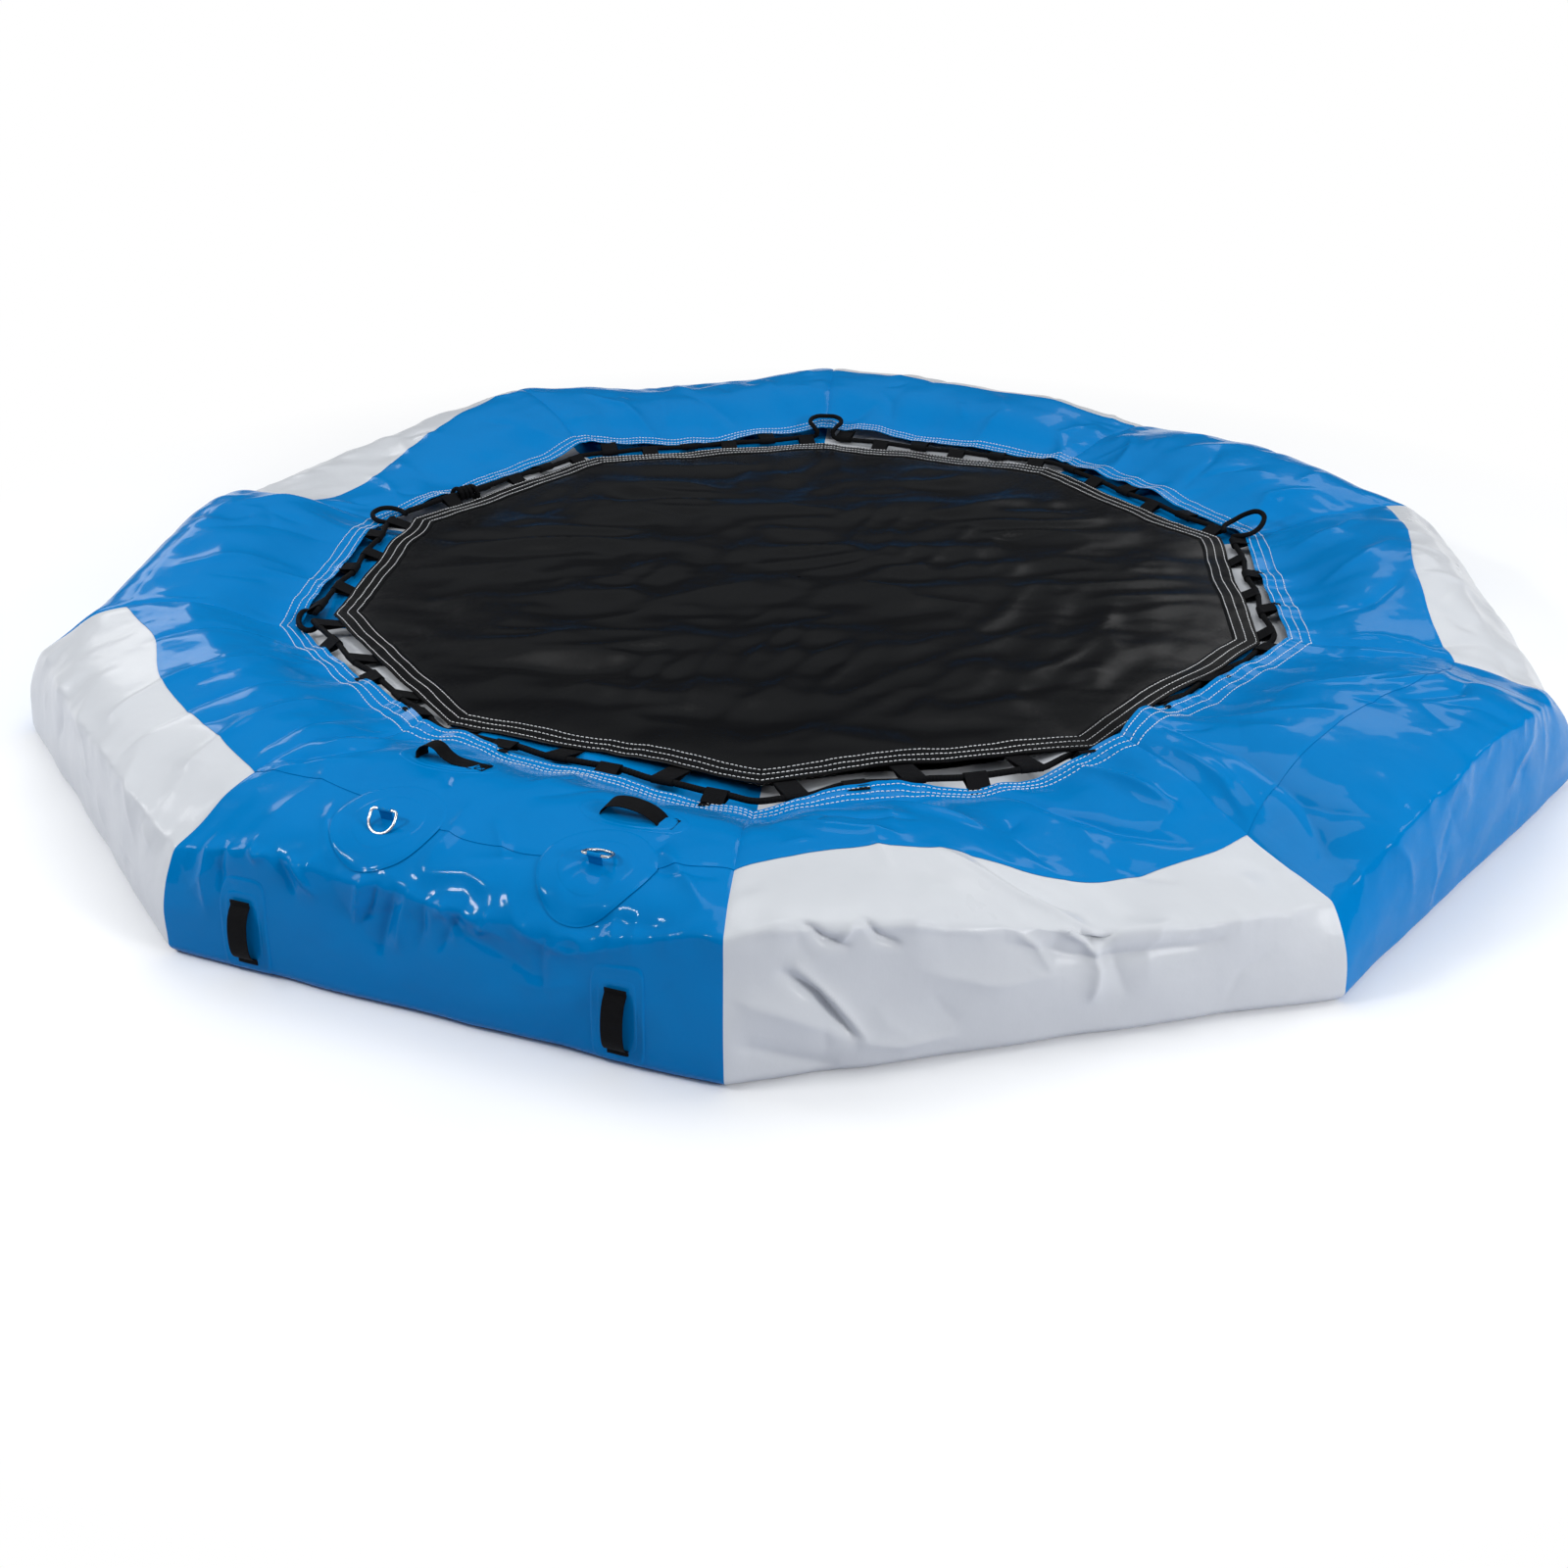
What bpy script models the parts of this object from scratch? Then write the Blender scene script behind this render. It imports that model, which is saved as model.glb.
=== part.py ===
"""Water trampoline: a ten-sided inflated ring with a jump mat laced inside it.

Metres, +Z up. The origin is on the ground under the middle of the mat. The corners of the ring lie
at 0, 36, 72 ... degrees from +X, and side 1 runs from the corner at 0 to the corner at 36 degrees.
A place on a side is given by its distance out from the origin, square to the side, and its distance
along the side from the side's middle.
"""

import math

import bmesh
import bpy
from mathutils import Matrix, Vector

# Ring
SIDES = 10
CORNER_RADIUS = 1.980
TUBE_WIDTH = 0.643
TUBE_HEIGHT = 0.340
SKIN = 0.0009
CLEARANCE = 0.0003
# The slack tube's section, from its foot up the outer wall, over the top and down inside:
# distance in from the outer wall, and height, as shares of the tube's width and height.
TUBE_SECTION_SHARES = (
    (0.110, 0.0), (0.030, 0.020), (0.0, 0.080), (0.0, 0.574), (0.024, 0.759), (0.090, 0.888),
    (0.288, 0.985), (0.565, 1.0), (0.705, 0.956), (0.852, 0.859), (0.961, 0.682),
    (1.0, 0.456), (0.985, 0.229), (0.930, 0.053), (0.845, 0.0),
)
OUTER_FACET_INDEX = 2
RING_FACET = 5
APRON_WELD = 6
APRON_LEAVES_TUBE = 9
OUTER_TOP_FACET = 6
INNER_TOP_FACET = 7

# Apron over the inner half of the top, and the mat inside it
APRON_OVERHANG = 0.018
APRON_EDGE_HEIGHT = 0.262
LACING_GAP = 0.062
MAT_HEIGHT = 0.240
MAT_THICKNESS = 0.0012
MAT_SAG = 0.012
MAT_SAG_SHARES = ((0.0, 1.0), (0.45, 0.72), (0.75, 0.28))
HEM_WIDTH = 0.065
HEM_THICKNESS = 0.0010

# Lacing: webbing tapes under both edges, their loops, and the rope through them
TAPE_THICKNESS = 0.0016
TAPE_WIDTH = 0.030
TAPE_INSET = 0.005
LOOP_WIDTH = 0.050
LOOP_TAIL = 0.012
LOOPS_PER_SIDE = 3
ROPE_DIAMETER = 0.012
ROPE_CLEARANCE = 0.0005
ROPE_WEAVE = 0.004
LOOP_ARC_POINTS = 4
# Slack bights: the side whose last corner holds one, how far it reaches out, and how wide it spreads.
BIGHTS = ((2, 0.115, 0.046), (4, 0.075, 0.048), (5, 0.105, 0.052), (10, 0.125, 0.048))
BIGHT_LIFT = 0.004
# A bight's way: along and out as shares of its spread and reach, and the climb to the apron's edge
BIGHT_SHARES = (
    (-0.50, 0.0, 0.45), (-0.80, 0.10, 1.0), (-1.0, 0.42, 1.0), (-0.92, 0.72, 1.0), (-0.52, 0.94, 1.0),
    (0.0, 1.0, 1.0), (0.52, 0.94, 1.0), (0.92, 0.72, 1.0), (1.0, 0.42, 1.0), (0.80, 0.10, 1.0),
    (0.50, 0.0, 0.45),
)
KNOT_SIDE = 4
KNOT_PLACE = 8
KNOT_TURNS = 3
KNOT_POINTS_PER_TURN = 16
KNOT_TURN_GAP = 0.0006

# Fittings of the boarding side. A spot is its distance in from the ring's outer wall, or up it, and
# its place along the side as a share of half the side's length there.
BOARDING_SIDE = 7
PATCH_THICKNESS = 0.0015
RING_PATCH_DIAMETER = 0.225
RING_SPOTS = {"left": (0.145, -0.2656), "right": (0.141, 0.530)}
RING_LEAN = {"left": 1, "right": -1}
D_RING_INSIDE = 0.050
D_RING_WIRE = 0.006
D_RING_LEG = 0.020
D_RING_BEND = 0.008
RING_TAB_WIDTH = 0.028
RING_TAB_HEIGHT = 0.030
RING_TAB_FOOT = 0.025
RING_TAB_THICKNESS = 0.0012
RING_TAB_CLEARANCE = 0.0004
TOP_PATCH_LENGTH = 0.230
TOP_PATCH_WIDTH = 0.110
HANDLE_THICKNESS = 0.0020
HANDLE_WIDTH = 0.045
TOP_HANDLE_FOOT = 0.024
SIDE_HANDLE_FOOT = 0.012
TOP_HANDLE_SPAN = 0.130
TOP_HANDLE_RISE = 0.032
TOP_HANDLE_SPOTS = {"left": (0.393, -0.3408), "right": (0.311, 0.5716)}
SIDE_HANDLE_SPAN = 0.118
SIDE_HANDLE_RISE = 0.022
SIDE_HANDLE_SPOTS = {"left": (0.100, -0.6733), "right": (0.100, 0.657)}
SIDE_PATCH_LENGTH = 0.200
SIDE_PATCH_WIDTH = 0.110
SIDE_PATCH_CORNER = 0.022
SIDE_PATCH_HEIGHT = 0.112
# A strap's path over its span: distance along and height, as shares of its span and rise
ARCH_SHARES = ((0.0, 0.0), (0.05, 0.50), (0.16, 0.86), (0.34, 1.0), (0.55, 0.96), (0.76, 0.74),
               (0.91, 0.38), (1.0, 0.0))
SLUMP_SHARES = ((0.0, 0.0), (0.0, 0.46), (0.08, 0.86), (0.20, 1.0), (0.32, 0.86), (0.44, 0.46),
                (0.60, 0.16), (0.82, 0.07), (1.0, 0.0))

# Inflation valve
VALVE_SIDE = 3
VALVE_HEIGHT = 0.122
VALVE_STEPS = 24
FLANGE_DIAMETER = 0.060
FLANGE_THICKNESS = 0.004
SLEEVE_OUTSIDE = 0.036
SLEEVE_BORE = 0.028
SLEEVE_DEPTH = 0.026
SEAT_BORE = 0.021
SEAT_THICKNESS = 0.003
BRIDGE_WIDTH = 0.007
BRIDGE_THICKNESS = 0.003
BRIDGE_DEPTH = 0.016
STEM_DIAMETER = 0.005
STEM_CLEARANCE = 0.0004
STEM_RECESS = 0.003
BUTTON_DIAMETER = 0.013
BUTTON_THICKNESS = 0.002
DISC_DIAMETER = 0.024
DISC_THICKNESS = 0.0025
SPRING_WIRE = 0.0009
SPRING_DIAMETER = 0.0088
SPRING_TURNS = 3
SPRING_POINTS_PER_TURN = 8
NUT_DIAMETER = 0.064
NUT_THICKNESS = 0.004
CAP_DIAMETER = 0.052
CAP_THICKNESS = 0.0035
CAP_PLUG_DEPTH = 0.002
CAP_PLUG_CLEARANCE = 0.0005
CAP_ARM_WIDTH = 0.009
HINGE_OFFSET = 0.035
HINGE_HEIGHT = 0.0045
HINGE_PIN_DIAMETER = 0.0024
HINGE_EYE_DIAMETER = 0.0060
HINGE_LUG_WIDTH = 0.004
HINGE_LUG_REACH = 0.0085
HINGE_PIN_CLEARANCE = 0.0003

OVERRUN = 0.020
PATCH_STEPS = 28
ROUND_STEPS = 12
ROUND_RESOLUTION = 2

HALF_ANGLE = math.pi / SIDES
ACROSS_FLATS_HALF = CORNER_RADIUS * math.cos(HALF_ANGLE)
INNER_WALL = ACROSS_FLATS_HALF - TUBE_WIDTH
APRON_EDGE = INNER_WALL - APRON_OVERHANG
MAT_EDGE = APRON_EDGE - LACING_GAP
ROPE_RADIUS = ROPE_DIAMETER / 2
LOOP_RADIUS = ROPE_RADIUS + ROPE_CLEARANCE + TAPE_THICKNESS / 2
# A skin grows inwards square to itself, so the outer wall needs this much more room at a mitre.
SEAM_GAP = CLEARANCE + 2 * SKIN * math.tan(HALF_ANGLE)

FINISHES = {
    "blue_pvc": ((0.006, 0.195, 0.578), 0.24, 0.0),
    "white_pvc": ((0.720, 0.740, 0.770), 0.30, 0.0),
    "mat_mesh": ((0.012, 0.012, 0.013), 0.60, 0.0),
    "hem_cloth": ((0.015, 0.015, 0.016), 0.65, 0.0),
    "webbing": ((0.010, 0.010, 0.011), 0.72, 0.0),
    "rope": ((0.008, 0.008, 0.009), 0.70, 0.0),
    "stainless": ((0.620, 0.620, 0.630), 0.22, 1.0),
    "valve_plastic": ((0.030, 0.032, 0.035), 0.40, 0.0),
}


def start_scene():
    """Clears the scene and makes one collection for the parts and one for the cutters."""
    for old in list(bpy.data.objects):
        bpy.data.objects.remove(old, do_unlink=True)
    made = []
    for name in ("water_trampoline", "cutters"):
        collection = bpy.data.collections.new(name)
        bpy.context.scene.collection.children.link(collection)
        made.append(collection)
    return made


PARTS, CUTTERS = start_scene()


def finish_of(name, slot):
    """A Principled material of the slot's colour for one object."""
    colour, roughness, metallic = FINISHES[slot]
    material = bpy.data.materials.new(f"{name}_{slot}")
    material.use_nodes = True
    shader = material.node_tree.nodes["Principled BSDF"]
    shader.inputs["Base Color"].default_value = (*colour, 1.0)
    shader.inputs["Roughness"].default_value = roughness
    shader.inputs["Metallic"].default_value = metallic
    material.diffuse_color = (*colour, 1.0)
    return material


def add_part(name, data, slot, frame=None, parent=None):
    """One named object of the trampoline."""
    part = bpy.data.objects.new(name, data)
    PARTS.objects.link(part)
    data.materials.append(finish_of(name, slot))
    part.parent = parent
    part.matrix_local = frame or Matrix()
    return part


def mesh_of(name, bm):
    mesh = bpy.data.meshes.new(name)
    bm.to_mesh(mesh)
    bm.free()
    return mesh


def add_cutter(name, bm, frame=None, parent=None):
    """A helper that a Boolean reads and a render leaves out."""
    bmesh.ops.recalc_face_normals(bm, faces=bm.faces)
    cutter = bpy.data.objects.new(name, mesh_of(name, bm))
    CUTTERS.objects.link(cutter)
    cutter.hide_render = True
    cutter.display_type = "WIRE"
    cutter.parent = parent
    cutter.matrix_local = frame or Matrix()
    return cutter


def add_solidify(part, thickness, side):
    """Gives an open surface its thickness: side -1 grows inwards, 0 both ways and 1 outwards."""
    solidify = part.modifiers.new("thickness", "SOLIDIFY")
    solidify.thickness = thickness
    solidify.offset = side
    solidify.use_even_offset = True


def add_boolean(part, cutter, operation):
    boolean = part.modifiers.new(f"{operation.lower()}_{cutter.name}", "BOOLEAN")
    boolean.operation = operation
    boolean.solver = "EXACT"
    boolean.object = cutter


def shade_smooth(part, angle=math.radians(35)):
    part.data.shade_smooth()
    part.data.set_sharp_from_angle(angle=angle)


def offset_outline(points, lift):
    """An open outline moved square to itself, to the right of the way it runs."""
    normals = []
    for start, end in zip(points, points[1:]):
        along = (end - start).normalized()
        normals.append(Vector((along.y, -along.x)))
    moved = []
    for index, point in enumerate(points):
        before = normals[max(index - 1, 0)]
        after = normals[min(index, len(normals) - 1)]
        moved.append(point + (before + after) * (lift / (1 + before.dot(after))))
    return moved


def tube_section():
    """The tube's section as points (distance out, height), its foot's outer edge first."""
    return [
        Vector((ACROSS_FLATS_HALF - inwards * TUBE_WIDTH, up * TUBE_HEIGHT))
        for inwards, up in TUBE_SECTION_SHARES
    ]


def section_at(facet, outwards):
    """The point on one facet of the tube's top, that far out from the origin."""
    outer, inner = tube_section()[facet], tube_section()[facet + 1]
    return outer.lerp(inner, (outer.x - outwards) / (outer.x - inner.x))


def apron_section(lift):
    """The apron's section, from its weld on the tube's top to its free edge, that far off the tube."""
    on_tube = tube_section()[APRON_WELD : APRON_LEAVES_TUBE + 1]
    return offset_outline([*on_tube, Vector((APRON_EDGE, APRON_EDGE_HEIGHT))], lift)


def side_frame(side):
    """Turns X to point out through a side's middle, and Y along the side."""
    return Matrix.Rotation((2 * side - 1) * HALF_ANGLE, 4, "Z")


def orient_upwards(bm):
    """Turns an open surface over if its highest face looks down."""
    bm.normal_update()
    highest = max(bm.faces, key=lambda face: face.calc_center_median().z)
    if highest.normal.z < 0:
        bmesh.ops.reverse_faces(bm, faces=bm.faces)


def swept_surface(path, half_width, closed=False):
    """A strip: the path in the XZ plane, drawn out along Y to both sides."""
    bm = bmesh.new()
    verts = [bm.verts.new((point[0], -half_width, point[1])) for point in path]
    pairs = list(zip(verts, verts[1:])) + ([(verts[-1], verts[0])] if closed else [])
    edges = [bm.edges.new(pair) for pair in pairs]
    swept = bmesh.ops.extrude_edge_only(bm, edges=edges)["geom"]
    moved = [item for item in swept if isinstance(item, bmesh.types.BMVert)]
    bmesh.ops.translate(bm, verts=moved, vec=(0, 2 * half_width, 0))
    return bm


def cut_at_angle(bm, angle, gap=0.0, clear=False):
    """Cuts a side's surface with an upright plane through the origin, that far round from X."""
    normal = Vector((-math.sin(angle), math.cos(angle), 0)) * math.copysign(1, angle)
    everything = [*bm.verts, *bm.edges, *bm.faces]
    bmesh.ops.bisect_plane(
        bm, geom=everything, plane_co=-gap / 2 * normal, plane_no=normal, clear_outer=clear
    )


def side_surface(path, closed=False):
    """One side's length of a section, mitred at both ends with half the seam's gap at each."""
    bm = swept_surface(path, CORNER_RADIUS, closed)
    for angle in (-HALF_ANGLE, HALF_ANGLE):
        cut_at_angle(bm, angle, SEAM_GAP, clear=True)
    orient_upwards(bm)
    return bm


def build_ring():
    """The ten tube segments and the ten apron panels."""
    for side in range(1, SIDES + 1):
        frame = side_frame(side)
        slot = "blue_pvc" if side % 2 else "white_pvc"
        name = f"tube_segment_{side:02}"
        tube = add_part(name, mesh_of(name, side_surface(tube_section(), closed=True)), slot, frame)
        add_solidify(tube, SKIN, -1)
        shade_smooth(tube)
        name = f"apron_panel_{side:02}"
        apron = add_part(name, mesh_of(name, side_surface(apron_section(CLEARANCE))), "blue_pvc", frame)
        add_solidify(apron, SKIN, 1)
        shade_smooth(apron)


def add_turned(name, outline, slot, steps, parent=None):
    """A turned shape: the outline (radius, height), down its outer side, spun about Z."""
    bm = bmesh.new()
    verts = [bm.verts.new((radius, 0, height)) for radius, height in outline]
    for pair in zip(verts, verts[1:]):
        bm.edges.new(pair)
    if outline[0][0] > 0:
        bm.edges.new((verts[-1], verts[0]))
    part = add_part(name, mesh_of(name, bm), slot, parent=parent)
    screw = part.modifiers.new("turn", "SCREW")
    screw.steps = screw.render_steps = steps
    screw.use_merge_vertices = True
    screw.merge_threshold = CLEARANCE / 3
    return part


def build_mat():
    """The jump mat and the hem folded over its edge, with their corners at the ring's corners."""
    to_corner = 1 / math.cos(HALF_ANGLE)
    half = MAT_THICKNESS / 2
    edge = (MAT_EDGE - HEM_THICKNESS - CLEARANCE) * to_corner
    hem_start = (MAT_EDGE - HEM_WIDTH) * to_corner
    crown = [(share * hem_start, MAT_HEIGHT - sag * MAT_SAG) for share, sag in MAT_SAG_SHARES]
    level = [*crown, (hem_start, MAT_HEIGHT), (edge, MAT_HEIGHT)]
    top = [(radius, height + half) for radius, height in level]
    bottom = [(radius, height - half) for radius, height in reversed(level)]
    add_turned("jump_mat", top + bottom, "mat_mesh", SIDES)

    inside = half + CLEARANCE
    outside = inside + HEM_THICKNESS
    edge_in, edge_out = edge + CLEARANCE * to_corner, MAT_EDGE * to_corner
    hem = [
        (hem_start, MAT_HEIGHT + outside), (edge_out, MAT_HEIGHT + outside),
        (edge_out, MAT_HEIGHT - outside), (hem_start, MAT_HEIGHT - outside),
        (hem_start, MAT_HEIGHT - inside), (edge_in, MAT_HEIGHT - inside),
        (edge_in, MAT_HEIGHT + inside), (hem_start, MAT_HEIGHT + inside),
    ]
    add_turned("mat_hem", hem, "hem_cloth", SIDES)
    return outside


def tangent_angles(point, centre, radius):
    """The angles on a circle where the two lines from a point touch it."""
    away = point - centre
    middle = math.atan2(away.y, away.x)
    spread = math.acos(radius / away.length)
    return middle - spread, middle + spread


def loop_path(start, under, centre):
    """From the tape's edge over the rope, round it and back under the tape."""
    over = [a % (2 * math.pi) for a in tangent_angles(start, centre, LOOP_RADIUS)]
    back = [a % (2 * math.pi) for a in tangent_angles(under, centre, LOOP_RADIUS)]
    outwards = start.x < centre.x
    first = max(over, key=math.sin)
    last = min(back, key=math.sin)
    turn = (first - last) % (2 * math.pi) if outwards else -((last - first) % (2 * math.pi))
    radius = LOOP_RADIUS / math.cos(turn / LOOP_ARC_POINTS / 2)
    path = []
    for step in range(LOOP_ARC_POINTS + 1):
        angle = first - turn * step / LOOP_ARC_POINTS
        path.append(centre + radius * Vector((math.cos(angle), math.sin(angle))))
    return path


def loop_places(first):
    """Where a side's loops stand along it. The loops of mat and apron take every other place."""
    pitch = 2 * (MAT_EDGE + LACING_GAP / 2) * math.tan(HALF_ANGLE) / (2 * LOOPS_PER_SIDE)
    return [(2 * index + first - LOOPS_PER_SIDE + 0.5) * pitch for index in range(LOOPS_PER_SIDE)]


def taped_side(bm, frame, tape, under, centre, places, end_gap):
    """One side's tape, cut across where its loops begin and end, and the loops drawn out of its edge."""
    ends = [point.x * math.tan(HALF_ANGLE) - end_gap for point in tape]
    cuts = sorted(place + half for place in places for half in (-LOOP_WIDTH / 2, LOOP_WIDTH / 2))
    first_row = [bm.verts.new((tape[0].x, along, tape[0].y)) for along in (-ends[0], *cuts, ends[0])]
    edges = [bm.edges.new(pair) for pair in zip(first_row, first_row[1:])]
    drawn = bmesh.ops.extrude_edge_only(bm, edges=edges)["geom"]
    second_row = sorted((v for v in drawn if isinstance(v, bmesh.types.BMVert)), key=lambda v: v.co.y)
    for vert in second_row:
        vert.co.x, vert.co.z = tape[1]
    second_row[0].co.y, second_row[-1].co.y = -ends[1], ends[1]
    tail = under + (tape[0] - tape[1]).normalized() * LOOP_TAIL
    path = [*loop_path(tape[1], under, centre), under, tail]
    made = first_row + second_row
    for place in range(len(places)):
        pair = second_row[2 * place + 1], second_row[2 * place + 2]
        for point in path:
            edge = bm.edges.get(pair)
            drawn = bmesh.ops.extrude_edge_only(bm, edges=[edge])["geom"]
            pair = sorted((v for v in drawn if isinstance(v, bmesh.types.BMVert)), key=lambda v: v.co.y)
            for vert in pair:
                vert.co.x, vert.co.z = point
            made += pair
    bmesh.ops.transform(bm, matrix=frame, verts=made)


def build_tapes(hem_half):
    """The webbing tapes with their loops, under the mat's hem and under each apron panel's edge."""
    layer = TAPE_THICKNESS + CLEARANCE
    mat_level = MAT_HEIGHT - hem_half - CLEARANCE - TAPE_THICKNESS / 2
    mat_tape = [
        Vector((MAT_EDGE - TAPE_INSET - TAPE_WIDTH, mat_level)),
        Vector((MAT_EDGE + TAPE_INSET / 2, mat_level)),
    ]
    apron_under = offset_outline(apron_section(CLEARANCE)[-2:], -CLEARANCE - TAPE_THICKNESS / 2)
    inwards = (apron_under[1] - apron_under[0]).normalized()
    apron_tape = [
        apron_under[1] - inwards * (TAPE_INSET + TAPE_WIDTH), apron_under[1] + inwards * TAPE_INSET / 2,
    ]
    middle = MAT_EDGE + LACING_GAP / 2
    rope_level = (mat_tape[1].y + apron_tape[1].y) / 2
    mat_centre = Vector((middle + ROPE_WEAVE, rope_level))
    apron_centre = Vector((middle - ROPE_WEAVE, rope_level))

    bm = bmesh.new()
    mat_under = Vector((MAT_EDGE - TAPE_INSET, mat_level - layer))
    for side in range(1, SIDES + 1):
        taped_side(bm, side_frame(side), mat_tape, mat_under, mat_centre, loop_places(0), 0.0)
    bmesh.ops.remove_doubles(bm, verts=bm.verts, dist=CLEARANCE)
    tape = add_part("mat_loop_tape", mesh_of("mat_loop_tape", bm), "webbing")
    add_solidify(tape, TAPE_THICKNESS, 0)

    below = Vector((inwards.y, -inwards.x)) * layer
    below *= -math.copysign(1, below.y)
    under = apron_under[1] - inwards * TAPE_INSET + below
    for side in range(1, SIDES + 1):
        bm = bmesh.new()
        taped_side(bm, Matrix(), apron_tape, under, apron_centre, loop_places(1), SEAM_GAP)
        name = f"apron_loop_tape_{side:02}"
        tape = add_part(name, mesh_of(name, bm), "webbing", side_frame(side))
        add_solidify(tape, TAPE_THICKNESS, 0)
    return mat_centre, apron_centre


def bight_points(side, start, end, reach, spread):
    """The slack of the rope, drawn out and laid over the apron at a side's last corner."""
    corner = side_frame(side) @ Matrix.Rotation(HALF_ANGLE, 4, "Z")
    outer, edge = apron_section(CLEARANCE + SKIN)[-2:]
    slope = (outer.y - edge.y) / (outer.x - edge.x)
    level, root = start.z, ((start + end) / 2).xy.length
    climb = edge.y + ROPE_RADIUS + BIGHT_LIFT - level
    points = []
    for along, out, up in BIGHT_SHARES:
        place, aside = root + reach * out, spread * along
        over_edge = max(0.0, place * math.cos(HALF_ANGLE) + abs(aside) * math.sin(HALF_ANGLE) - edge.x)
        points.append(corner @ Vector((place, aside, level + climb * up + slope * over_edge)))
    return points


def rope_route(mat_centre, apron_centre):
    """The rope's points, from one face of the knot round the mat to the knot's other face."""
    half = LOOP_WIDTH / 2 + TAPE_THICKNESS
    bights = {side: sizes for side, *sizes in BIGHTS}
    points = []
    for step in range(SIDES):
        side = (KNOT_SIDE - 1 + step) % SIDES + 1
        frame = side_frame(side)
        places = [(place, mat_centre) for place in loop_places(0)]
        places += [(place, apron_centre) for place in loop_places(1)]
        stops = []
        for place, centre in sorted(places, key=lambda item: item[0]):
            stops.append([frame @ Vector((centre.x, place + end, centre.y)) for end in (-half, half)])
        points.append((side, stops))
    route = []
    for index, (side, stops) in enumerate(points):
        for stop in stops:
            route += stop
        following = points[(index + 1) % SIDES][1][0][0]
        if side in bights:
            route += bight_points(side, route[-1], following, *bights[side])
        else:
            corner = side_frame(side) @ Matrix.Rotation(HALF_ANGLE, 4, "Z")
            radius = (mat_centre.x + apron_centre.x) / 2 / math.cos(HALF_ANGLE) - ROPE_RADIUS
            route.append(corner @ Vector((radius, 0, mat_centre.y)))
    return route


def wire_curve(name, places, radius, resolution, closed=False):
    """A round wire or rope along the places."""
    curve = bpy.data.curves.new(name, "CURVE")
    curve.dimensions = "3D"
    curve.bevel_depth = radius
    curve.bevel_resolution = resolution
    curve.use_fill_caps = not closed
    spline = curve.splines.new("POLY")
    spline.points.add(len(places) - 1)
    for point, place in zip(spline.points, places):
        point.co = (*place, 1)
    spline.use_cyclic_u = closed
    return curve


def coil_places(radius, low, high, turns, points_per_turn):
    """The centre line of a coil about Z that climbs at a steady rate."""
    places = []
    for step in range(turns * points_per_turn + 1):
        angle = 2 * math.pi * step / points_per_turn
        height = low + (high - low) * step / (turns * points_per_turn)
        places.append(Vector((radius * math.cos(angle), radius * math.sin(angle), height)))
    return places


def least_gap(places, points_per_turn, diameter):
    """The narrowest space between a coil's turns."""
    gaps = []
    for index, place in enumerate(places):
        for other in places[index + points_per_turn // 2 :]:
            gaps.append((other - place).length - diameter)
    return min(gaps)


def build_rope(mat_centre, apron_centre):
    """The lacing rope, its ends face to face in the turns of the knot that joins them."""
    route = rope_route(mat_centre, apron_centre)
    knot_start, knot_end = route[KNOT_PLACE - 1], route[KNOT_PLACE]
    middle = (knot_start + knot_end) / 2
    along = (knot_end - knot_start).normalized()
    shift = along * CLEARANCE / 2
    route = [middle + shift, *route[KNOT_PLACE:], *route[:KNOT_PLACE], middle - shift]
    add_part("lacing_rope", wire_curve("lacing_rope", route, ROPE_RADIUS, ROUND_RESOLUTION), "rope")

    half = KNOT_TURNS * (ROPE_DIAMETER + KNOT_TURN_GAP) / 2
    knot = coil_places(ROPE_DIAMETER + ROPE_CLEARANCE, -half, half, KNOT_TURNS, KNOT_POINTS_PER_TURN)
    frame = Matrix.Translation(middle) @ along.to_track_quat("Z", "X").to_matrix().to_4x4()
    add_part("rope_knot", wire_curve("rope_knot", knot, ROPE_RADIUS, 1), "rope", frame)
    gap = least_gap(knot, KNOT_POINTS_PER_TURN, ROPE_DIAMETER)
    length = sum((end - start).length for start, end in zip(route, route[1:]))
    print(f"least gap between the knot's turns {gap:.5f} m, lacing rope {length:.2f} m long")


def facet_frame(side, facet, place, along, lift):
    """A seat on one facet of a side: Z out of the facet, X along the side, Y up the facet."""
    outer, inner = tube_section()[facet], tube_section()[facet + 1]
    up = (inner - outer).normalized()
    normal = Vector((up.y, -up.x))
    spot = place + normal * lift
    out = Vector((normal.x, 0, normal.y))
    side_way = Vector((0, 1, 0))
    up_way = out.cross(side_way)
    turn = Matrix((side_way, up_way, out)).transposed().to_4x4()
    return side_frame(side) @ Matrix.Translation((spot.x, along, spot.y)) @ turn


def patch_on(name, slot, first, last, lift, cutter_mesh, frame):
    """A patch that lies on the facets from first to last, cut to the outline of its cutter."""
    section = offset_outline(tube_section(), lift)[first : last + 2]
    bm = swept_surface(section, CORNER_RADIUS)
    cut_at_angle(bm, HALF_ANGLE, clear=True)
    cut_at_angle(bm, -HALF_ANGLE, clear=True)
    orient_upwards(bm)
    bmesh.ops.triangulate(bm, faces=bm.faces)
    patch = add_part(name, mesh_of(name, bm), slot, side_frame(BOARDING_SIDE))
    add_solidify(patch, PATCH_THICKNESS, 1)
    cutter = add_cutter(f"{name}_outline", cutter_mesh, frame)
    add_boolean(patch, cutter, "INTERSECT")
    return patch


def oval_block(length, width):
    """An upright oval cylinder, to cut a patch out."""
    bm = bmesh.new()
    bmesh.ops.create_cone(
        bm, cap_ends=True, segments=PATCH_STEPS, radius1=1, radius2=1, depth=2 * OVERRUN
    )
    bmesh.ops.scale(bm, vec=(length / 2, width / 2, 1), verts=bm.verts)
    return bm


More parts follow.
